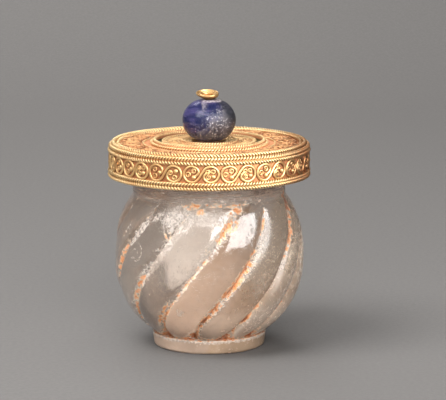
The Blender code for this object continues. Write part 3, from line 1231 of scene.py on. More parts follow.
    def _rings(self) -> list[Ring]:
        """Rings of the mesh, in the order in which they are joined.

        Returns:
            The rings from the foot's underside up the outside and down into the cavity.
        """
        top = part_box("crystal_jar")[1].z / MM
        corner = (self.foot_radius - self.foot_taper - self.foot_rounding, self.foot_rounding)
        underside = [(r, 0.0) for r in np.linspace(self.centre_radius, corner[0] - 0.4, 10)]
        foot = underside + arc(corner, self.foot_rounding, -90.0, 0.0, 8)
        for t in (0.33, 0.66):
            height = self.foot_rounding + t * (self.foot_height - 0.6)
            foot.append((self.foot_radius - self.foot_taper * (1.0 - t), height))
        edge = (self.foot_radius - self.foot_edge, self.foot_height - self.foot_edge)
        foot += arc(edge, self.foot_edge, 0.0, 90.0, 4)
        rings = [Ring(r, z) for r, z in foot]
        start = math.asin(self.tip)
        for i in range(self.belly_rings):
            angle = start + (math.pi / 2.0 - start) * i / self.belly_rings
            height = self.belly - self.drop * math.cos(angle)
            rings.append(Ring(self._crest(height), height, fluted=True))
        for i in range(self.shoulder_rings + 1):
            height = self.belly + self.shoulder_rise * math.sin(math.pi / 2.0 * i / self.shoulder_rings)
            rings.append(Ring(self._crest(height), height, fluted=True))
        rim = top - self.rim_rounding
        neck = [(self.neck_radius, z) for z in np.linspace(self.shoulder + 0.8, rim - 0.6, 8)]
        neck += arc((self.neck_radius - self.rim_rounding, rim), self.rim_rounding, 0.0, 90.0, 6)
        neck += [(r, top) for r in np.linspace(self.neck_radius - 1.5, self.cavity_radius + 1.5, 5)]
        neck += arc((self.cavity_radius + self.rim_rounding, rim), self.rim_rounding, 90.0, 150.0, 4)
        rings += [Ring(r, z) for r, z in neck]
        floor = (self.cavity_radius - self.cavity_rounding, self.base_thickness + self.cavity_rounding)
        wall = [(self.cavity_radius, z) for z in np.linspace(rim - 0.2, floor[1] + 0.8, 20)]
        wall += arc(floor, self.cavity_rounding, 0.0, -90.0, 8)
        wall += [(r, self.base_thickness) for r in (1.9, 1.0)]
        rings += [Ring(r, z, inside=True) for r, z in wall]
        return rings

    def _marked(self, marks: tuple[Mark, ...], angle: np.ndarray, height: float) -> np.ndarray:
        """Strength of all marks along one ring, whose grooves stand at every flute's first column.

        Args:
            marks: The marks.
            angle: The points' angles in radians.
            height: The ring's height.

        Returns:
            The strongest mark's amount at each point.
        """
        total = np.zeros_like(angle)
        degrees = np.degrees(angle)
        for mark in marks:
            start = 0.0 if mark.groove is None else degrees[mark.groove * self.columns_per_flute]
            off = (degrees - start - mark.shift + 180.0) % 360.0 - 180.0
            reach = (off / mark.width) ** 2 + ((height - mark.height) / mark.length) ** 2
            total = np.maximum(total, mark.amount * np.exp(-(reach**1.5)))
        return total

    def _amounts(self, ring: Ring, angle: np.ndarray, across: np.ndarray) -> dict[str, np.ndarray]:
        """What the carving and the finish read along one ring; the cavity has no soil, frost or milk.

        Args:
            ring: The ring.
            angle: Its points' angles in radians.
            across: How far across its flute each point stands.

        Returns:
            Each attribute's values by its name.
        """
        outside = 0.0 if ring.inside else 1.0
        return {
            "across": across,
            "carve": np.full_like(angle, float(ring.fluted)),
            "bore": np.full_like(angle, float(ring.inside)),
            "soil": outside * self._soil(ring, angle, across),
            "frost": outside * self._frost(ring, angle, across),
            "milk": outside * self._milk_and_glow(ring, angle, across),
        }

    def _milk_and_glow(self, ring: Ring, angle: np.ndarray, across: np.ndarray) -> np.ndarray:
        """Cloudiness along one ring: strong in the foot and neck, more low down and beside the grooves;
        the glow marks, and part of the neck's amount, are painted light.

        Args:
            ring: The ring.
            angle: Its points' angles in radians.
            across: How far across its flute each point stands.

        Returns:
            The amount at each point.
        """
        if ring.height < self.milky_foot:
            return np.full_like(angle, self.milk_in_foot)
        if ring.height > self.milky_neck:
            return np.full_like(angle, self.milk_and_light_in_neck)
        side = 0.5 + 0.5 * np.cos(angle - math.radians(self.milky_side))
        low = 1.0 - smooth_step(ring.height, 8.0, 20.0)
        base = 0.05 + 0.10 * side**2 + 0.45 * low * side**3 + 0.16 * np.abs(across) ** 5
        return np.maximum(base, self._marked(self.glow_marks, angle, ring.height))

    def _soil(self, ring: Ring, angle: np.ndarray, across: np.ndarray) -> np.ndarray:
        """Soil along one ring: in the grooves' bottoms, the pockets above the foot and the marks.

        Args:
            ring: The ring.
            angle: Its points' angles in radians.
            across: How far across its flute each point stands.

        Returns:
            The amount at each point.
        """
        groove = np.clip((np.abs(across) - self.groove_start) / 0.09, 0.0, 1.0) * ring.fluted
        low = smooth_step(ring.height, 9.0, 3.0)
        pocket = np.abs(across) ** 3 * bell(ring.height - 2.6, 1.3) * ring.fluted
        ledge = self.soil_on_ledge * bell(ring.height - self.foot_height - 0.2, 0.45)
        grooves = groove * (self.soil_in_grooves + self.soil_low_down * low)
        base = np.minimum(grooves + self.soil_in_pockets * pocket + ledge, self.soil_limit)
        return np.maximum(base, self._marked(self.soil_marks, angle, ring.height))

    def _frost(self, ring: Ring, angle: np.ndarray, across: np.ndarray) -> np.ndarray:
        """Frosted wear along one ring: in the grooves, on the foot's upper edge and at the marks.

        Args:
            ring: The ring.
            angle: Its points' angles in radians.
            across: How far across its flute each point stands.

        Returns:
            The amount at each point.
        """
        edge = self.frost_on_edge * bell(ring.height - self.foot_height + 0.1, 0.34)
        groove = np.clip((np.abs(across) - self.groove_start) / 0.08, 0.0, 1.0)
        grooves = groove * (self.frost_in_grooves if ring.fluted else 0.0)
        return np.maximum(np.maximum(self._marked(self.frost_marks, angle, ring.height), edge), grooves)

    def _seed_mesh(self) -> bpy.types.Mesh:
        """The jar before its flutes are carved, with the amounts that the carving and the finish read.

        Returns:
            The mesh.
        """
        across, angles = self._columns()
        count = len(across)
        points, rows_of_amounts = [], []
        for ring in self._rings():
            angle = self._angle_at(ring.height, angles)
            out = (ring.radius * np.sin(angle), -ring.radius * np.cos(angle))
            points.append(np.column_stack((*out, np.full(count, ring.height))) * MM)
            rows_of_amounts.append(self._amounts(ring, angle, across))
        rows = len(points)
        centres = np.array([[0.0, 0.0, 0.0], [0.0, 0.0, self.base_thickness * MM]])
        vertices = np.concatenate(points + [centres])
        step = np.arange(count)
        after = (step + 1) % count
        quads = []
        for row in range(rows - 1):
            low, high = row * count, (row + 1) * count
            quads.append(np.column_stack((low + step, low + after, high + after, high + step)))
        faces = [tuple(quad) for quad in np.concatenate(quads).tolist()]
        first, last = rows * count, (rows - 1) * count
        faces += [(int(j), int(i), first) for i, j in zip(step, after)]
        faces += [(last + int(i), last + int(j), first + 1) for i, j in zip(step, after)]
        mesh = bpy.data.meshes.new("crystal_seed")
        mesh.from_pydata(vertices.tolist(), [], faces)
        for label in rows_of_amounts[0]:
            amounts = np.concatenate([row[label] for row in rows_of_amounts])
            keep_amounts(mesh, label, np.concatenate((amounts, [0.0, amounts[-1]])))
        return mesh

    @staticmethod
    def _carving_tree() -> ShapeTree:
        """Carves flutes and pockets into the plain vessel and gives its skin the hand's unevenness.

        Returns:
            The tree.
        """
        sizes = ("Depth", "Power", "Swell", "Fade", "Shoulder", "Foot")
        sizes += ("Pocket Depth", "Pocket Reach", "Pocket Power", "Waviness")
        tree = ShapeTree("Carve flutes", sizes)
        place = tree.position_mm()
        x, y, z = tree.split(place)
        across = abs(tree.named("across"))
        fade = tree.field(
            "ShaderNodeMapRange",
            {"interpolation_type": "SMOOTHSTEP"},
            {"Value": (tree.given("Shoulder") - z) / tree.given("Fade")},
        )
        groove = tree.given("Depth") * across ** tree.given("Power")
        groove = (groove + tree.given("Swell") * across**2.0) * fade
        rise = (z - tree.given("Foot")) / tree.given("Pocket Reach")
        near_foot = tree.math("EXPONENT", 0.0 - rise * rise)
        pocket = tree.given("Pocket Depth") * near_foot * across ** tree.given("Pocket Power")
        uneven = (tree.noise(place, 0.16, 2.0) - 0.5) * 2.0 * tree.given("Waviness")
        uneven = uneven + (tree.noise(place, 0.7, 2.0) - 0.5) * 0.5 * tree.given("Waviness")
        depth = (groove + pocket - uneven) * tree.named("carve") * -MM
        outwards = tree.vector("NORMALIZE", tree.join(x, y, 0.0))
        tree.finish(tree.moved(tree.given("Geometry"), Offset=tree.scaled(outwards, depth)))
        return tree

    def build(self) -> bpy.types.Object:
        """Builds, dresses and rides the jar.

        Returns:
            The finished jar.
        """
        crystal = CrystalFinish().material()
        values = {
            "Depth": self.flute_depth - self.flute_swell,
            "Power": self.flute_power,
            "Swell": self.flute_swell,
            "Fade": self.flute_fade,
            "Shoulder": self.shoulder,
            "Foot": self.foot_height,
            "Pocket Depth": self.pocket_depth,
            "Pocket Reach": self.pocket_reach,
            "Pocket Power": self.pocket_power,
            "Waviness": self.waviness,
            "Material": crystal,
        }
        jar = self._carving_tree().grow("crystal_body", self._seed_mesh(), values)
        jar.data.set_sharp_from_angle(angle=SHARP_ANGLE)
        dress(jar, "rock_crystal", crystal, BoreFinish().material())
        inside = np.zeros(len(jar.data.vertices), np.float32)
        jar.data.attributes["bore"].data.foreach_get("value", inside)
        for face in jar.data.polygons:
            face.material_index = int(all(inside[v] > 0.5 for v in face.vertices))
        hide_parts("crystal_jar")
        return jar


# The gold lid


@dataclass(frozen=True)
class Rope:
    """A rope wire that runs round the lid.

    Attributes:
        name: The finished piece's name.
        radius: Radius of the ring that its middle follows.
        height: Height of its middle.
        wire: Radius over its strands.
        twist: Which way the strands turn.
        strokes: Strands counted along one millimetre.
        lay: Distance of a strand's middle from the rope's, as a share of its radius.
        strand: A strand's own radius, as such a share.
    """

    name: str
    radius: float
    height: float
    wire: float
    twist: Twist
    strokes: float = 2.0
    lay: float = 0.56
    strand: float = 0.46

    @staticmethod
    def tree() -> ShapeTree:
        """Two strands wound about each other along a ring, darker towards the rope's core as painted
        shade.

        Returns:
            The tree, which all the ropes share.
        """
        tree = ShapeTree("Rope wire", ("Radius", "Height", "Lay", "Strand", "Turns"), ("Steps",))
        index = tree.field("GeometryNodeInputIndex")
        angle = index / tree.given("Steps") * math.tau
        around, along = tree.math("SINE", angle), tree.math("COSINE", angle)
        drift = (tree.noise(tree.join(around, along, tree.given("Height")), 2.2, 1.0) - 0.5) * 0.10
        section = tree.circle(WIRE_SIDES, tree.given("Strand") * MM)
        strands = []
        for phase in (0.0, math.pi):
            turn = angle * tree.given("Turns") + phase
            out = tree.given("Radius") + tree.given("Lay") * tree.math("COSINE", turn)
            up = tree.given("Height") + tree.given("Lay") * tree.math("SINE", turn) + drift
            place = tree.scaled(tree.join(out * around, 0.0 - out * along, up), MM)
            path = tree.moved(tree.circle(tree.given("Steps")), Position=place)
            strands.append(tree.tube(path, section))
        # Painted shade: the strands darken towards the rope's core, where they press together.
        x, y, z = tree.split(tree.position_mm())
        out = (x * x + y * y) ** 0.5 - tree.given("Radius")
        up = z - tree.given("Height")
        reach = (out * out + up * up) ** 0.5 / (tree.given("Lay") + tree.given("Strand"))
        tree.finish(tree.keep(tree.joined(*strands), "worn", reach.step(0.75, 0.96)))
        return tree

    def grow(self, tree: ShapeTree, material: bpy.types.Material) -> bpy.types.Object:
        """Builds, dresses and rides the rope.

        Args:
            tree: The rope tree.
            material: Its gold.

        Returns:
            The finished rope.
        """
        turns = round(math.tau * self.radius * self.strokes / 2.0) * self.twist.value
        values = {
            "Radius": self.radius,
            "Height": self.height,
            "Lay": self.wire * self.lay,
            "Strand": self.wire * self.strand,
            "Turns": float(turns),
            "Steps": max(96, abs(turns) * 8),
            "Material": material,
        }
        empty = bpy.data.meshes.new(self.name + "_seed")
        return dress(tree.grow(self.name, empty, values), "gold", material)


@dataclass
class WireDrawing:
    """Wires and grains drawn flat, as (along, across) points, before they are laid on the lid.

    Attributes:
        points: (along, across, lift) of each point.
        edges: Pairs of points that a wire joins.
        wire: The wire's radius at each point, or 0.
        grain: The grain's radius at each point, or 0.
        choice: Which of the variants each point belongs to, or -1 for all.
        place: Which of the unit's places each point fills.
    """

    points: list[Place] = field(default_factory=list)
    edges: list[tuple[int, int]] = field(default_factory=list)
    wire: list[float] = field(default_factory=list)
    grain: list[float] = field(default_factory=list)
    choice: list[float] = field(default_factory=list)
    place: list[float] = field(default_factory=list)

    def line(self, path: list[Point], lift: float, wire: float, choice: int = -1, place: int = 0) -> None:
        """Adds one wire.

        Args:
            path: Its points.
            lift: Height of its middle over the ground.
            wire: Its radius.
            choice: Which of the variants it belongs to, or -1 for all.
            place: Which of the unit's places it fills.
        """
        first = len(self.points)
        for u, v in path:
            self._point((u, v, lift), wire, 0.0, choice, place)
        self.edges += [(i, i + 1) for i in range(first, len(self.points) - 1)]

    def ball(self, centre: Point, lift: float, radius: float, choice: int = -1, place: int = 0) -> None:
        """Adds one grain."""
        self._point((*centre, lift), 0.0, radius, choice, place)

    def _point(self, where: Place, wire: float, grain: float, choice: int, place: int) -> None:
        """Adds one point with its amounts.

        Args:
            where: The point.
            wire: Radius of its wire, or 0.
            grain: Radius of its grain, or 0.
            choice: Which of the variants it belongs to, or -1 for all.
            place: Which of the unit's places it fills.
        """
        self.points.append(where)
        self.wire.append(wire)
        self.grain.append(grain)
        self.choice.append(float(choice))
        self.place.append(float(place))

    def mesh(self, name: str) -> bpy.types.Mesh:
        """The drawing as a mesh of edges and loose points.

        Args:
            name: The mesh's name.

        Returns:
            The mesh, with its amounts.
        """
        mesh = bpy.data.meshes.new(name)
        mesh.from_pydata(self.points, self.edges, [])
        for label in ("wire", "grain", "choice", "place"):
            keep_amounts(mesh, label, getattr(self, label))
        return mesh


@dataclass(frozen=True)
class Filigree:
    """A row of S-scrolls, each circle filled with small rings and grains.

    Attributes:
        name: The finished piece's name.
        wrap: What the row is laid on.
        ground: Radius of the band, or height of the plate, that it lies on.
        middle: Height of the row's middle on a band, or its radius on a plate.
        circle: Radius of a scroll's circle, to the middle of its wire.
        wire: Radius of the scroll wire.
        repeats: Number of S-scrolls round the lid.
        start: Angle of the first scroll in degrees.
        ring: Radius of the small rings.
        rings: Least number of small rings in a circle.
        gap: Radius of the rings in the gaps beside the circles, or 0 for none.
        variants: Number of fillings to choose from.
        seed: Fixed seed of the choice.
        gold: What it is made of.
    """

    name: str
    wrap: Wrap
    ground: float
    middle: float
    circle: float
    wire: float
    repeats: int
    start: float = 0.0
    ring: float = 0.42
    rings: int = 3
    gap: float = 0.0
    variants: int = 4
    seed: int = 3
    gold: Gold = Gold.WIRE

    def _pitch(self) -> float:
        """Length of one S-scroll along the row."""
        radius = self.ground if self.wrap is Wrap.BAND else self.middle
        return math.tau * radius / self.repeats

    def _drawing(self) -> WireDrawing:
        """One S-scroll with every filling that its two circles may get.

        Returns:
            The drawing.
        """
        drawing = WireDrawing()
        half = self._pitch() / 4.0
        tangent = math.degrees(math.asin(min(1.0, self.circle / half)))
        left = self._curl((-half, 0.0), -34.0, 270.0 + tangent, 1.0)
        right = self._curl((half, 0.0), 90.0 + tangent, -214.0, -1.0)
        drawing.line(left + right, self.wire * 0.8, self.wire)
        for place, centre in enumerate(((-half, 0.0), (half, 0.0))):
            for choice in range(self.variants):
                self._filling(drawing, centre, choice, place)
        if self.gap:
            for along in (0.0, 2.0 * half):
                for across in (-self.circle, self.circle):
                    ring = arc((along, across), self.gap, 0.0, 320.0, 9)
                    drawing.line(ring, self.wire * 0.6, self.wire * 0.6)
                    drawing.ball((along, across), self.gap * 0.3, self.gap * 0.5)
        return drawing

    def _curl(self, centre: Point, start: float, end: float, sense: float) -> list[Point]:
        """One circle of an S-scroll, curled in at its free end.

        Args:
            centre: Its middle.
            start: First angle in degrees.
            end: Last angle in degrees.
            sense: 1 where it starts at the free end, or -1 where it ends there.

        Returns:
            Its points.
        """
        path = []
        for i in range(CURL_STEPS + 1):
            share = i / CURL_STEPS
            angle = math.radians(start + (end - start) * share)
            free = share if sense > 0.0 else 1.0 - share
            radius = self.circle * (1.0 - 0.52 * (1.0 - smooth_step(free, 0.0, 0.19)))
            path.append((centre[0] + radius * math.cos(angle), centre[1] + radius * math.sin(angle)))
        return path

    def _filling(self, drawing: WireDrawing, centre: Point, choice: int, place: int) -> None:
        """Small rings and grains inside one circle.

        Args:
            drawing: Where they are added.
            centre: The circle's middle.
            choice: Number of the variant.
            place: Number of the circle in its unit.
        """
        thin = self.wire * 0.62
        count = self.rings + choice % 2
        reach = (self.circle - self.wire) * (0.56 if count < 5 else 0.66)
        size = min(self.ring, reach * math.sin(math.pi / count) * 0.98)
        if count > 4:
            drawing.ball(centre, size * 0.4, size * 0.8, choice, place)
        for k in range(count):
            angle = math.tau * k / count + 0.55 * choice + 0.8 * place
            middle = (centre[0] + reach * math.cos(angle), centre[1] + reach * math.sin(angle))
            if (k + choice) % (count + 1) == 0:
                drawing.ball(middle, size * 0.2, size * 0.95, choice, place)
            else:
                opening = math.degrees(angle) + 70.0 * choice
                ring = arc(middle, size * 0.78, opening, opening + 330.0, 9)
                drawing.line([middle] + ring[::-1], thin, thin, choice, place)

    @staticmethod
    def tree(wrap: Wrap) -> ShapeTree:
        """Repeats a drawn unit along a row, wraps the row, and gives wires and grains their bodies, darker
        towards their ground and edged with dark ridges, both painted shade.

        Args:
            wrap: What the row is laid on.

        Returns:
            The tree.
        """
        sizes = ("Pitch", "Ground", "Middle", "Start", "Variants")
        tree = ShapeTree("Filigree " + wrap.name.lower(), sizes, ("Repeats", "Seed"))
        row = tree.field(
            "GeometryNodeMeshLine",
            {"mode": "OFFSET"},
            {"Count": tree.given("Repeats"), "Offset": tree.join(tree.given("Pitch"), 0.0, 0.0)},
        )
        inputs = {"Points": row, "Instance": tree.given("Geometry")}
        copies = tree.field("GeometryNodeInstanceOnPoints", None, inputs)
        flat = tree.real(tree.keep(copies, "copy", tree.field("GeometryNodeInputIndex"), "INSTANCE"))
        key = tree.named("copy") * 2.0 + tree.named("place")
        drawn = tree.field(
            "FunctionNodeRandomValue",
            {"data_type": "FLOAT"},
            {"Min": 0.0, "Max": tree.given("Variants"), "ID": key, "Seed": tree.given("Seed")},
            1,
        )
        choice = tree.named("choice")
        unlike = abs(choice - tree.math("FLOOR", drawn)).step(0.4, 0.6) * choice.step(-0.6, -0.4)
        laid = tree.moved(tree.without(flat, unlike), Position=Filigree._wrapped(tree, wrap))

        curve = tree.field("GeometryNodeMeshToCurve", None, {"Mesh": laid})
        wire = tree.named("wire")
        wires = tree.tube(curve, tree.circle(WIRE_SIDES), Scale=wire * MM, Fill_Caps=True)
        # Painted shade: wires and grains darken towards the ground that they lie on.
        x, y, z = tree.split(tree.position_mm())
        lift = ((x * x + y * y) ** 0.5 if wrap is Wrap.BAND else z) - tree.given("Ground")
        crests = tree.keep(wires, "worn", (lift / (2.0 * wire)).step(0.35, 0.80))
        grains = tree.keep(Filigree._grains(tree, laid), "worn", (lift / 0.5).step(0.2, 0.8))
        tree.finish(tree.joined(crests, Filigree._contact_shadow(tree, wrap, curve), grains))
        return tree

    @staticmethod
    def _grains(tree: ShapeTree, laid: Field) -> Field:
        """The grains, one ball at every loose point.

        Args:
            tree: The tree.
            laid: The drawing on the lid, whose points keep a grain's radius, or 0 where they have none.

        Returns:
            The grains.
        """
        size = tree.named("grain")
        loose = tree.without(laid, tree.math("LESS_THAN", size, 0.001))
        spots = tree.field("GeometryNodeMeshToPoints", {"mode": "VERTICES"}, {"Mesh": loose})
        ball = tree.field("GeometryNodeMeshIcoSphere", None, {"Radius": MM, "Subdivisions": 2})
        inputs = {"Points": spots, "Instance": ball, "Scale": tree.join(size, size, size)}
        return tree.real(tree.field("GeometryNodeInstanceOnPoints", None, inputs))

    @staticmethod
    def _contact_shadow(tree: ShapeTree, wrap: Wrap, curve: Field) -> Field:
        """Low dark ridges of painted contact shadow in the corners between the wires and their ground.

        Args:
            tree: The tree.
            wrap: What the row is laid on.
            curve: The wires' middles.

        Returns:
            The ridges, which are the tops of wider tubes sunk into the ground.
        """
        wire = tree.named("wire")
        outwards = tree.join(0.0, 0.0, 1.0)
        if wrap is Wrap.BAND:
            x, y = tree.split(tree.position())[:2]
            outwards = tree.vector("NORMALIZE", tree.join(x, y, 0.0))
        sunk = tree.moved(curve, Offset=tree.scaled(outwards, wire * (-CONTACT_SHADOW_DEPTH * MM)))
        ridge = tree.tube(sunk, tree.circle(12), Scale=wire * (CONTACT_SHADOW_WIDTH * MM))
        # The ridges take the darkest colour, as painted contact shadow.
        return tree.keep(ridge, "worn", wire * 0.0)

    @staticmethod
    def _wrapped(tree: ShapeTree, wrap: Wrap) -> Field:
        """Where a point of the flat row lies on the lid, with the hand's unevenness.

        Args:
            tree: The tree.
            wrap: What the row is laid on.

        Returns:
            The place in Blender's metres.
        """
        u, v, lift = tree.split(tree.position())
        wobble = tree.noise(tree.join(u * 0.5, v * 0.5, tree.given("Start")), 1.0, 1.0) - 0.5
        v = v + wobble * UNEVENNESS
        wobble = tree.noise(tree.join(v * 0.5, u * 0.5, 7.0), 1.0, 1.0) - 0.5
        u = u + wobble * UNEVENNESS
        if wrap is Wrap.BAND:
            angle = u / tree.given("Ground") + tree.given("Start")
            out = tree.given("Ground") + lift
            height = tree.given("Middle") + v
        else:
            angle = u / tree.given("Middle") + tree.given("Start")
            out = tree.given("Middle") + v
            height = tree.given("Ground") + lift
        sine, cosine = tree.math("SINE", angle), tree.math("COSINE", angle)
        return tree.scaled(tree.join(out * sine, 0.0 - out * cosine, height), MM)

    def grow(self, tree: ShapeTree, material: bpy.types.Material) -> bpy.types.Object:
        """Builds, dresses and rides the row.

        Args:
            tree: The tree for this row's wrap.
            material: Its gold.

        Returns:
            The finished row.
        """
        values = {
            "Repeats": self.repeats,
            "Pitch": self._pitch(),
            "Ground": self.ground,
            "Middle": self.middle,
            "Start": math.radians(self.start),
            "Variants": float(self.variants),
            "Seed": self.seed,
            "Material": material,
        }
        unit = self._drawing().mesh(self.name + "_unit")
        return dress(tree.grow(self.name, unit, values), "gold", material)


@dataclass
class GoldLid:
    """The lid: sheet gold with a raised tray, rope wires on tray, plate and edge, and rows of filigree.

    The sizes named for wear say how far parts of the sheet show wear, from 0 to 1, or below 0 in the
    tray's trench, which takes a painted shadow.
    """

    sheet: float = 0.45
    band_height: float = 4.98
    band_relief: float = 0.5
    edge_bevel: float = 0.25
    rounding: float = 0.12
    under_wire: float = 0.1
    tray_radius: float = 8.85
    tray_height: float = 0.75
    field_radius: float = 7.4
    field_rise: float = 0.3
    cup_radius: float = 4.5
    cup_height: float = 0.5
    collar_radius: float = 4.1
    collar_depth: float = 3.5
    pin_hole: float = 0.7
    rope: float = 0.32
    plate: float = 0.5
    worn_band: float = 0.3
    worn_side: float = 0.8
    trench_shadow_amount: float = -0.7
    worn_ground: float = 0.2
    worn_plate: float = 0.45
    plate_ground: Point = (10.6, 14.2)
    segments: int = 192
    reach: float = field(init=False)
    edge: float = field(init=False)
    top: float = field(init=False)
    ground: float = field(init=False)

    def __post_init__(self) -> None:
        """Reads the lid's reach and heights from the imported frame."""
        low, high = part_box("gold_lid")
        self.reach = high.x / MM
        self.edge = low.z / MM
        self.top = self.edge + self.band_height
        self.ground = self.reach - self.band_relief

    def _outline(self) -> list[Point]:
        """Section of the sheet work, without its wires.

        Returns:
            Its points, as (radius, height).
        """
        top, sheet = self.top, self.sheet
        cup, raised = top + self.cup_height, top + self.field_rise
        tray = top + self.tray_height - self.under_wire
        bottom = self.edge + self.under_wire
        under = top - self.plate
        collar = under - self.collar_depth
        corners = [
            (self.pin_hole, top),
            (self.cup_radius - sheet, top),
            (self.cup_radius - sheet, cup),
            (self.cup_radius, cup),
            (self.cup_radius, raised),
            (self.field_radius, raised),
            (self.field_radius, top),
            (self.tray_radius - sheet, top),
            (self.tray_radius - sheet, tray),
            (self.tray_radius, tray),
            (self.tray_radius, top),
            (self.ground - self.edge_bevel, top),
            (self.ground, top - self.edge_bevel),
            (self.ground, bottom),
            (self.ground - sheet, bottom),
            (self.ground - sheet, under),
            (self.collar_radius, under),
            (self.collar_radius, collar),
            (self.collar_radius - sheet, collar),
            (self.collar_radius - sheet, under),
            (self.pin_hole, under),
        ]
        return rounded(corners, self.rounding)

    def _wear_and_shadow(self, radius: float, height: float) -> float:
        """How far the sheet shows wear at a point, or the painted shadow in the tray's trench.

        Args:
            radius: The point's distance from the axis.
            height: Its height.

        Returns:
            The amount that the finish reads.
        """
        if radius > self.ground - 0.1 and self.edge + 1.0 < height < self.top - 0.6:
            return self.worn_band
        if height <= self.top - 0.05:
            return self.worn_side
        # The trench gets the painted shadow of the tray's wall.
        if self.field_radius - 0.1 < radius < self.tray_radius - 0.3 and height < self.top + 0.4:
            return self.trench_shadow_amount
        first, last = self.plate_ground
        return self.worn_ground if radius < self.field_radius or first < radius < last else self.worn_plate

    def _ropes(self) -> list[Rope]:
        """The rope wires, from the bead's nest outwards and down the band.

        Returns:
            The ropes.
        """
        wire, top, reach = self.rope, self.top, self.reach
        cup, raised, tray = top + self.cup_height, top + self.field_rise, top + self.tray_height
        side = reach - wire - 0.01
        close, fine = 2.3, 2.6
        return [
            Rope("nest_rope_1", 3.78, cup - 0.12, 0.24, Twist.LEFT, close),
            Rope("nest_rope_2", 3.32, cup - 0.22, 0.24, Twist.RIGHT, close),
            Rope("nest_rope_3", 2.88, cup - 0.28, 0.24, Twist.LEFT, close),
            Rope("cup_rope", 4.28, cup + 0.02, 0.24, Twist.RIGHT, close),
            Rope("field_line_1", 4.85, raised + 0.08, 0.16, Twist.RIGHT, fine),
            Rope("field_line_2", 6.9, raised + 0.08, 0.16, Twist.RIGHT, fine),
            Rope("field_rope", self.field_radius - 0.15, raised + 0.12, 0.22, Twist.LEFT, close),
            Rope("tray_rim_rope", self.tray_radius - 0.22, tray - 0.12, 0.25, Twist.RIGHT, close),
            Rope("tray_foot_rope", self.tray_radius + 0.26, top + 0.22, 0.26, Twist.RIGHT),
            Rope("inner_line", 10.4, top + 0.08, 0.15, Twist.RIGHT, fine),
            Rope("plate_rope", reach - 1.62, top + 0.2, 0.26, Twist.RIGHT),
            Rope("edge_rope_1", reach - 3.0 * wire, top + wire, wire, Twist.LEFT),
            Rope("edge_rope_2", reach - 1.4 * wire, top - 0.4 * wire, wire, Twist.RIGHT),
            Rope("edge_rope_3", side, top - 2.5 * wire, wire, Twist.LEFT),
            Rope("edge_rope_4", side, self.edge + 2.9 * wire, wire, Twist.RIGHT),
            Rope("edge_rope_5", side, self.edge + wire, wire, Twist.LEFT),
        ]

    def _rows(self) -> list[Filigree]:
        """The rows of scrolls on the band, the plate and the tray.

        Returns:
            The rows.
        """
        middle = (self.top - 3.5 * self.rope + self.edge + 3.9 * self.rope) / 2.0
        raised = self.top + self.field_rise
        band = Filigree(
            "band_scrolls", Wrap.BAND, self.ground, middle, circle=1.22, wire=0.20, repeats=17,
            start=-4.1, seed=5,
        )
        plate = Filigree(
            "plate_scrolls", Wrap.PLATE, self.top, 12.4, circle=1.42, wire=0.15, repeats=11,
            start=6.0, ring=0.38, rings=5, gap=0.3, seed=2, gold=Gold.TOP_WIRE,
        )
        tray = Filigree(
            "tray_scrolls", Wrap.PLATE, raised, 5.85, circle=0.66, wire=0.11, repeats=11,
            start=12.0, ring=0.3, gap=0.16, variants=2,
        )
        return [band, plate, tray]

    def build(self) -> bpy.types.Object:
        """Builds, dresses and rides the lid and its wires.

        Returns:
            The lid's sheet work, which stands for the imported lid.
        """
        golds = {gold: gold.value.material() for gold in (Gold.SHEET, Gold.WIRE, Gold.TOP_WIRE, Gold.ROPE)}
        sheet = turned("lid_sheet", self._outline(), self.segments)
        worn = [self._wear_and_shadow(v.co.xy.length / MM, v.co.z / MM) for v in sheet.data.vertices]
        keep_amounts(sheet.data, "worn", worn)
        dress(sheet, "gold", golds[Gold.SHEET])
        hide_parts("gold_lid")
        rope_tree = Rope.tree()
        for rope in self._ropes():
            rope.grow(rope_tree, golds[Gold.ROPE])
        trees = {wrap: Filigree.tree(wrap) for wrap in Wrap}
        for row in self._rows():
            row.grow(trees[row.wrap], golds[row.gold])
        return sheet


# The knob


@dataclass
class StoneBead:
    """The drilled bead."""

    power: float = 2.15
    bore: float = 0.7
    flare: float = 0.4
    flare_share: float = 0.35
    full_height: float = 6.84
    mouth_slope: Point = (0.12, 0.5)
    unevenness: float = 0.05
    segments: int = 72
    rings: int = 48

    def build(self) -> bpy.types.Object:
        """Builds, dresses and rides the bead.

        Returns:
            The finished bead.
        """
        low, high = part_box("stone_bead")
        radius = high.x / MM
        middle = (low.z + high.z) / 2.0 / MM
        half = self.full_height / 2.0
        mouth = self.bore + self.flare
        shoulder = math.asin((mouth / radius) ** (self.power / 2.0))
        outline = []
        for i in range(self.rings + 1):
            angle = shoulder + (math.pi - 2.0 * shoulder) * i / self.rings
            rise = math.copysign(abs(math.cos(angle)) ** (2.0 / self.power), math.cos(angle))
            outline.append((radius * math.sin(angle) ** (2.0 / self.power), middle + half * rise))
        inner = half * (1.0 - 2.0 * self.flare_share)
        out, along = self.mouth_slope
        outline += [(self.bore + out, middle - inner - along), (self.bore, middle - inner)]
        outline += [(self.bore, middle + inner), (self.bore + out, middle + inner + along)]
        bead = turned("blue_bead", outline, self.segments)
        for vertex in bead.data.vertices:
            away = vertex.co.xy.length / MM / radius
            turn = math.atan2(vertex.co.y, vertex.co.x)
            swell = math.sin(2.0 * turn + 0.6) + 0.5 * math.sin(vertex.co.z / MM * 1.7)
            vertex.co.xy *= 1.0 - self.unevenness / radius * (1.0 + swell) * away**2
        dress(bead, "blue_stone", BeadFinish().material())
        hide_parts("stone_bead")
        return bead


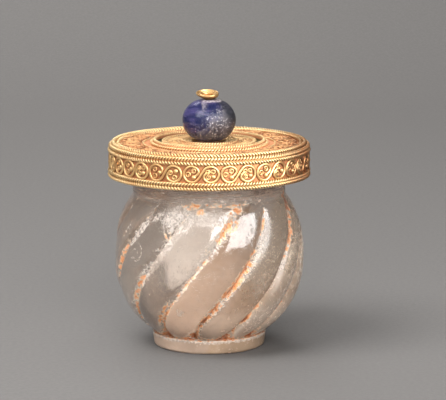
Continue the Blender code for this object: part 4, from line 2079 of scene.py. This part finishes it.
@dataclass
class KnobPin:
    """The gold pin, with a washer below the lid's plate and a rolled cup on top of the bead."""

    radius: float = 0.4
    washer_radius: float = 1.3
    washer_thickness: float = 0.35
    cup_base: float = 0.85
    cup_radius: float = 1.78
    cup_height: float = 0.96
    wall: float = 0.22
    lean: float = 0.17
    shift: float = 0.3
    bead_gap: float = 0.075
    cup_floor_shade: float = 0.25
    coil_wire: float = 0.16
    coil_radius: float = 1.36
    coil_shrink: float = 0.42
    coil_depth: float = 0.20
    coil_fall: float = 0.22
    coil_start: float = -40.0
    coil_sweep: float = 560.0
    coil_steps: int = 60
    segments: int = 64

    def build(self) -> bpy.types.Object:
        """Builds, dresses and rides the pin.

        Returns:
            The finished pin.
        """
        bead_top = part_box("stone_bead")[1].z / MM + self.bead_gap
        rim = bead_top + self.cup_height
        pin = turned("gold_pin", self._outline(bead_top, rim), self.segments, closed=False)
        self._merge(pin, self._coil(rim))
        for vertex in pin.data.vertices:
            share = smooth_step(vertex.co.z / MM, bead_top, rim)
            vertex.co.z += self.lean * share * vertex.co.y
            vertex.co.x -= self.shift * share * MM
        # Painted shade: the pin darkens from below its cup's rim down to the cup's floor and foot, the
        # shaft and the washer.
        heights = [vertex.co.z / MM for vertex in pin.data.vertices]
        bright = 1.0 - self.cup_floor_shade
        worn = [self.cup_floor_shade + bright * smooth_step(z, bead_top + 0.3, rim - 0.15) for z in heights]
        keep_amounts(pin.data, "worn", worn)
        dress(pin, "gold", Gold.PIN.value.material())
        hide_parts("knob_pin")
        return pin

    def _outline(self, bead_top: float, rim: float) -> list[Point]:
        """Section of the pin from its washer up the shaft and over the cup's rim to its floor.

        Args:
            bead_top: Height of the cup's foot, on the bead.
            rim: Height of the cup's rim.

        Returns:
            Its points, as (radius, height), from the axis to the axis.
        """
        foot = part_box("knob_pin")[0].z / MM
        wall = self.wall
        outline = [
            (0.0, foot),
            (self.washer_radius - 0.1, foot),
            (self.washer_radius, foot + 0.1),
            (self.washer_radius, foot + self.washer_thickness - 0.05),
            (self.washer_radius - 0.05, foot + self.washer_thickness),
            (self.radius, foot + self.washer_thickness),
            (self.radius, bead_top - self.cup_base + self.radius),
            (self.cup_base - 0.15, bead_top - 0.02),
            (self.cup_base, bead_top + 0.05),
        ]
        for t in (0.15, 0.3, 0.45, 0.6, 0.75, 0.9):
            out = self.cup_base + (self.cup_radius - self.cup_base) * math.sin(math.pi / 2 * t) ** 0.8
            outline.append((out, bead_top + 0.05 + (self.cup_height - 0.15) * t**1.25))
        outline += arc((self.cup_radius - wall / 2, rim - wall / 2), wall / 2, 0.0, 180.0, 6)
        outline += [(self.cup_radius - wall - 0.15, rim - 0.35), (1.0, bead_top + 0.42)]
        outline += [(0.5, bead_top + 0.38), (0.0, bead_top + 0.38)]
        return outline

    def _coil(self, rim: float) -> bpy.types.Object:
        """The rolled end of the wire, coiled inside the cup, sinking and narrowing as it winds inwards.

        Args:
            rim: Height of the cup's rim.

        Returns:
            The coil, as a curve.
        """
        curve = bpy.data.curves.new("cup_coil", "CURVE")
        curve.dimensions = "3D"
        curve.bevel_depth = self.coil_wire * MM
        curve.bevel_resolution = 3
        curve.use_fill_caps = True
        spline = curve.splines.new("POLY")
        spline.points.add(self.coil_steps)
        for i in range(self.coil_steps + 1):
            share = i / self.coil_steps
            angle = math.radians(self.coil_start + self.coil_sweep * share)
            radius = self.coil_radius - self.coil_shrink * share
            height = rim - self.coil_depth - self.coil_fall * share
            x, y = radius * math.cos(angle) * MM, radius * math.sin(angle) * MM
            spline.points[i].co = (x, y, height * MM, 1.0)
        return link(bpy.data.objects.new("cup_coil", curve))

    @staticmethod
    def _merge(piece: bpy.types.Object, extra: bpy.types.Object) -> None:
        """Adds the evaluated mesh of one object to another and removes the first.

        Args:
            piece: The object that stays.
            extra: The object that is added.
        """
        mesh = bpy.data.meshes.new_from_object(extra.evaluated_get(bpy.context.evaluated_depsgraph_get()))
        builder = bmesh.new()
        builder.from_mesh(piece.data)
        builder.from_mesh(mesh)
        builder.to_mesh(piece.data)
        builder.free()
        piece.data.shade_smooth()
        piece.data.set_sharp_from_angle(angle=SHARP_ANGLE)
        bpy.data.objects.remove(extra)


# The studio


@dataclass(frozen=True)
class Softbox:
    """A rectangular light that faces a target.

    Attributes:
        name: Its name.
        place: Its middle.
        size: Its width and height.
        power: Its power in watts.
        glossy: Whether it shows in shiny surfaces.
        diffuse: Whether it lights matt surfaces.
        through: Whether it shines through the crystal.
        target: The point that it faces.
    """

    name: str
    place: Place
    size: Point
    power: float
    glossy: bool = True
    diffuse: bool = True
    through: bool = True
    target: Place = (0.0, 0.0, 16.0)

    def build(self) -> bpy.types.Object:
        """Builds the light.

        Returns:
            The light.
        """
        data = bpy.data.lights.new(self.name, "AREA")
        data.shape = "RECTANGLE"
        data.size, data.size_y = self.size[0] * MM, self.size[1] * MM
        data.energy = self.power
        light = link(bpy.data.objects.new(self.name, data))
        light.visible_glossy = self.glossy
        light.visible_transmission = self.through
        light.visible_diffuse = self.diffuse
        light.location = Vector(self.place) * MM
        aim = Vector(self.target) * MM - light.location
        light.rotation_euler = aim.to_track_quat("-Z", "Y").to_euler()
        return light


@dataclass
class Studio:
    """Paper sweep, soft lights and the camera at the photograph's angle."""

    camera_place: Place = (2.186, -400.0, 93.388)
    camera_pitch: float = 0.1741
    lens: float = 207.3
    sensor: float = 36.0
    floor_half_width: float = 1200.0
    floor_front: float = -900.0
    floor_back: float = 260.0
    sweep_radius: float = 300.0
    wall_height: float = 1200.0
    surround: Colour = (0.60, 0.585, 0.57)
    surround_strength: float = 0.24

    def build(self) -> None:
        """Builds the stage."""
        self._sweep()
        self._world()
        self._camera()
        for light in self._lights():
            light.build()

    @staticmethod
    def _lights() -> list[Softbox]:
        """The lights: some show only in shiny surfaces, some only light matt ones or shine through.

        Returns:
            The lights.
        """
        gleam = {"diffuse": False, "through": False}
        inner = {"glossy": False, "diffuse": False}
        square = (240.0, 240.0)
        return [
            Softbox("key light", (-210.0, -170.0, 400.0), square, 3.1, glossy=False),
            Softbox("key gleam", (-285.0, -210.0, 335.0), (220.0, 220.0), 0.95, **gleam),
            Softbox("front gleam", (-45.0, -330.0, 360.0), (190.0, 150.0), 0.6, **gleam),
            Softbox("overhead light", (-40.0, 20.0, 420.0), (420.0, 300.0), 1.7, glossy=False),
            Softbox("window light", (288.0, -320.0, 226.0), (520.0, 370.0), 6.4, **gleam),
            Softbox("fill light", (20.0, -430.0, 250.0), (300.0, 300.0), 2.6, glossy=False, through=False),
            Softbox("side light", (330.0, -220.0, 130.0), square, 0.45, **inner),
            Softbox("left light", (-225.0, -340.0, 160.0), square, 1.8, **inner),
            Softbox(
                "backdrop light", (-120.0, 430.0, 430.0), (300.0, 200.0), 2.6, target=(-60.0, 640.0, 70.0)
            ),
        ]

    def _sweep(self) -> None:
        """Floor and backdrop in one curved sheet."""
        profile = [(self.floor_front, 0.0), (self.floor_back, 0.0)]
        turn = arc((self.floor_back, self.sweep_radius), self.sweep_radius, -90.0, 0.0, 24)
        profile += turn[1:] + [(self.floor_back + self.sweep_radius, self.wall_height)]
        sides = (-self.floor_half_width, self.floor_half_width)
        points = [(x * MM, y * MM, z * MM) for y, z in profile for x in sides]
        faces = [(2 * i, 2 * i + 1, 2 * i + 3, 2 * i + 2) for i in range(len(profile) - 1)]
        mesh = bpy.data.meshes.new("paper_sweep")
        mesh.from_pydata(points, [], faces)
        mesh.shade_smooth()
        mesh.materials.append(StudioFinish().material())
        link(bpy.data.objects.new("paper_sweep", mesh))

    def _world(self) -> None:
        """An even, dim surrounding light."""
        world = bpy.data.worlds.new("studio")
        bpy.context.scene.world = world
        world.use_nodes = True
        background = world.node_tree.nodes["Background"]
        background.inputs["Color"].default_value = (*self.surround, 1.0)
        background.inputs["Strength"].default_value = self.surround_strength

    def _camera(self) -> None:
        """The camera, with no shift and no depth of field."""
        data = bpy.data.cameras.new("camera")
        data.lens = self.lens
        data.sensor_width = self.sensor
        data.clip_start = 0.01
        camera = link(bpy.data.objects.new("camera", data))
        camera.location = Vector(self.camera_place) * MM
        camera.rotation_euler = (math.pi / 2.0 - self.camera_pitch, 0.0, 0.0)
        bpy.context.scene.camera = camera


def main() -> None:
    """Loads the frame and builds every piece."""
    logging.basicConfig(level=logging.INFO, format="%(name)s: %(message)s")
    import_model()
    for section in (Studio(), CrystalJar(), GoldLid(), StoneBead(), KnobPin()):
        section.build()
        LOG.info("built %s", type(section).__name__)
    bpy.context.scene.view_settings.view_transform = VIEW_TRANSFORM


if __name__ == "__main__":
    main()
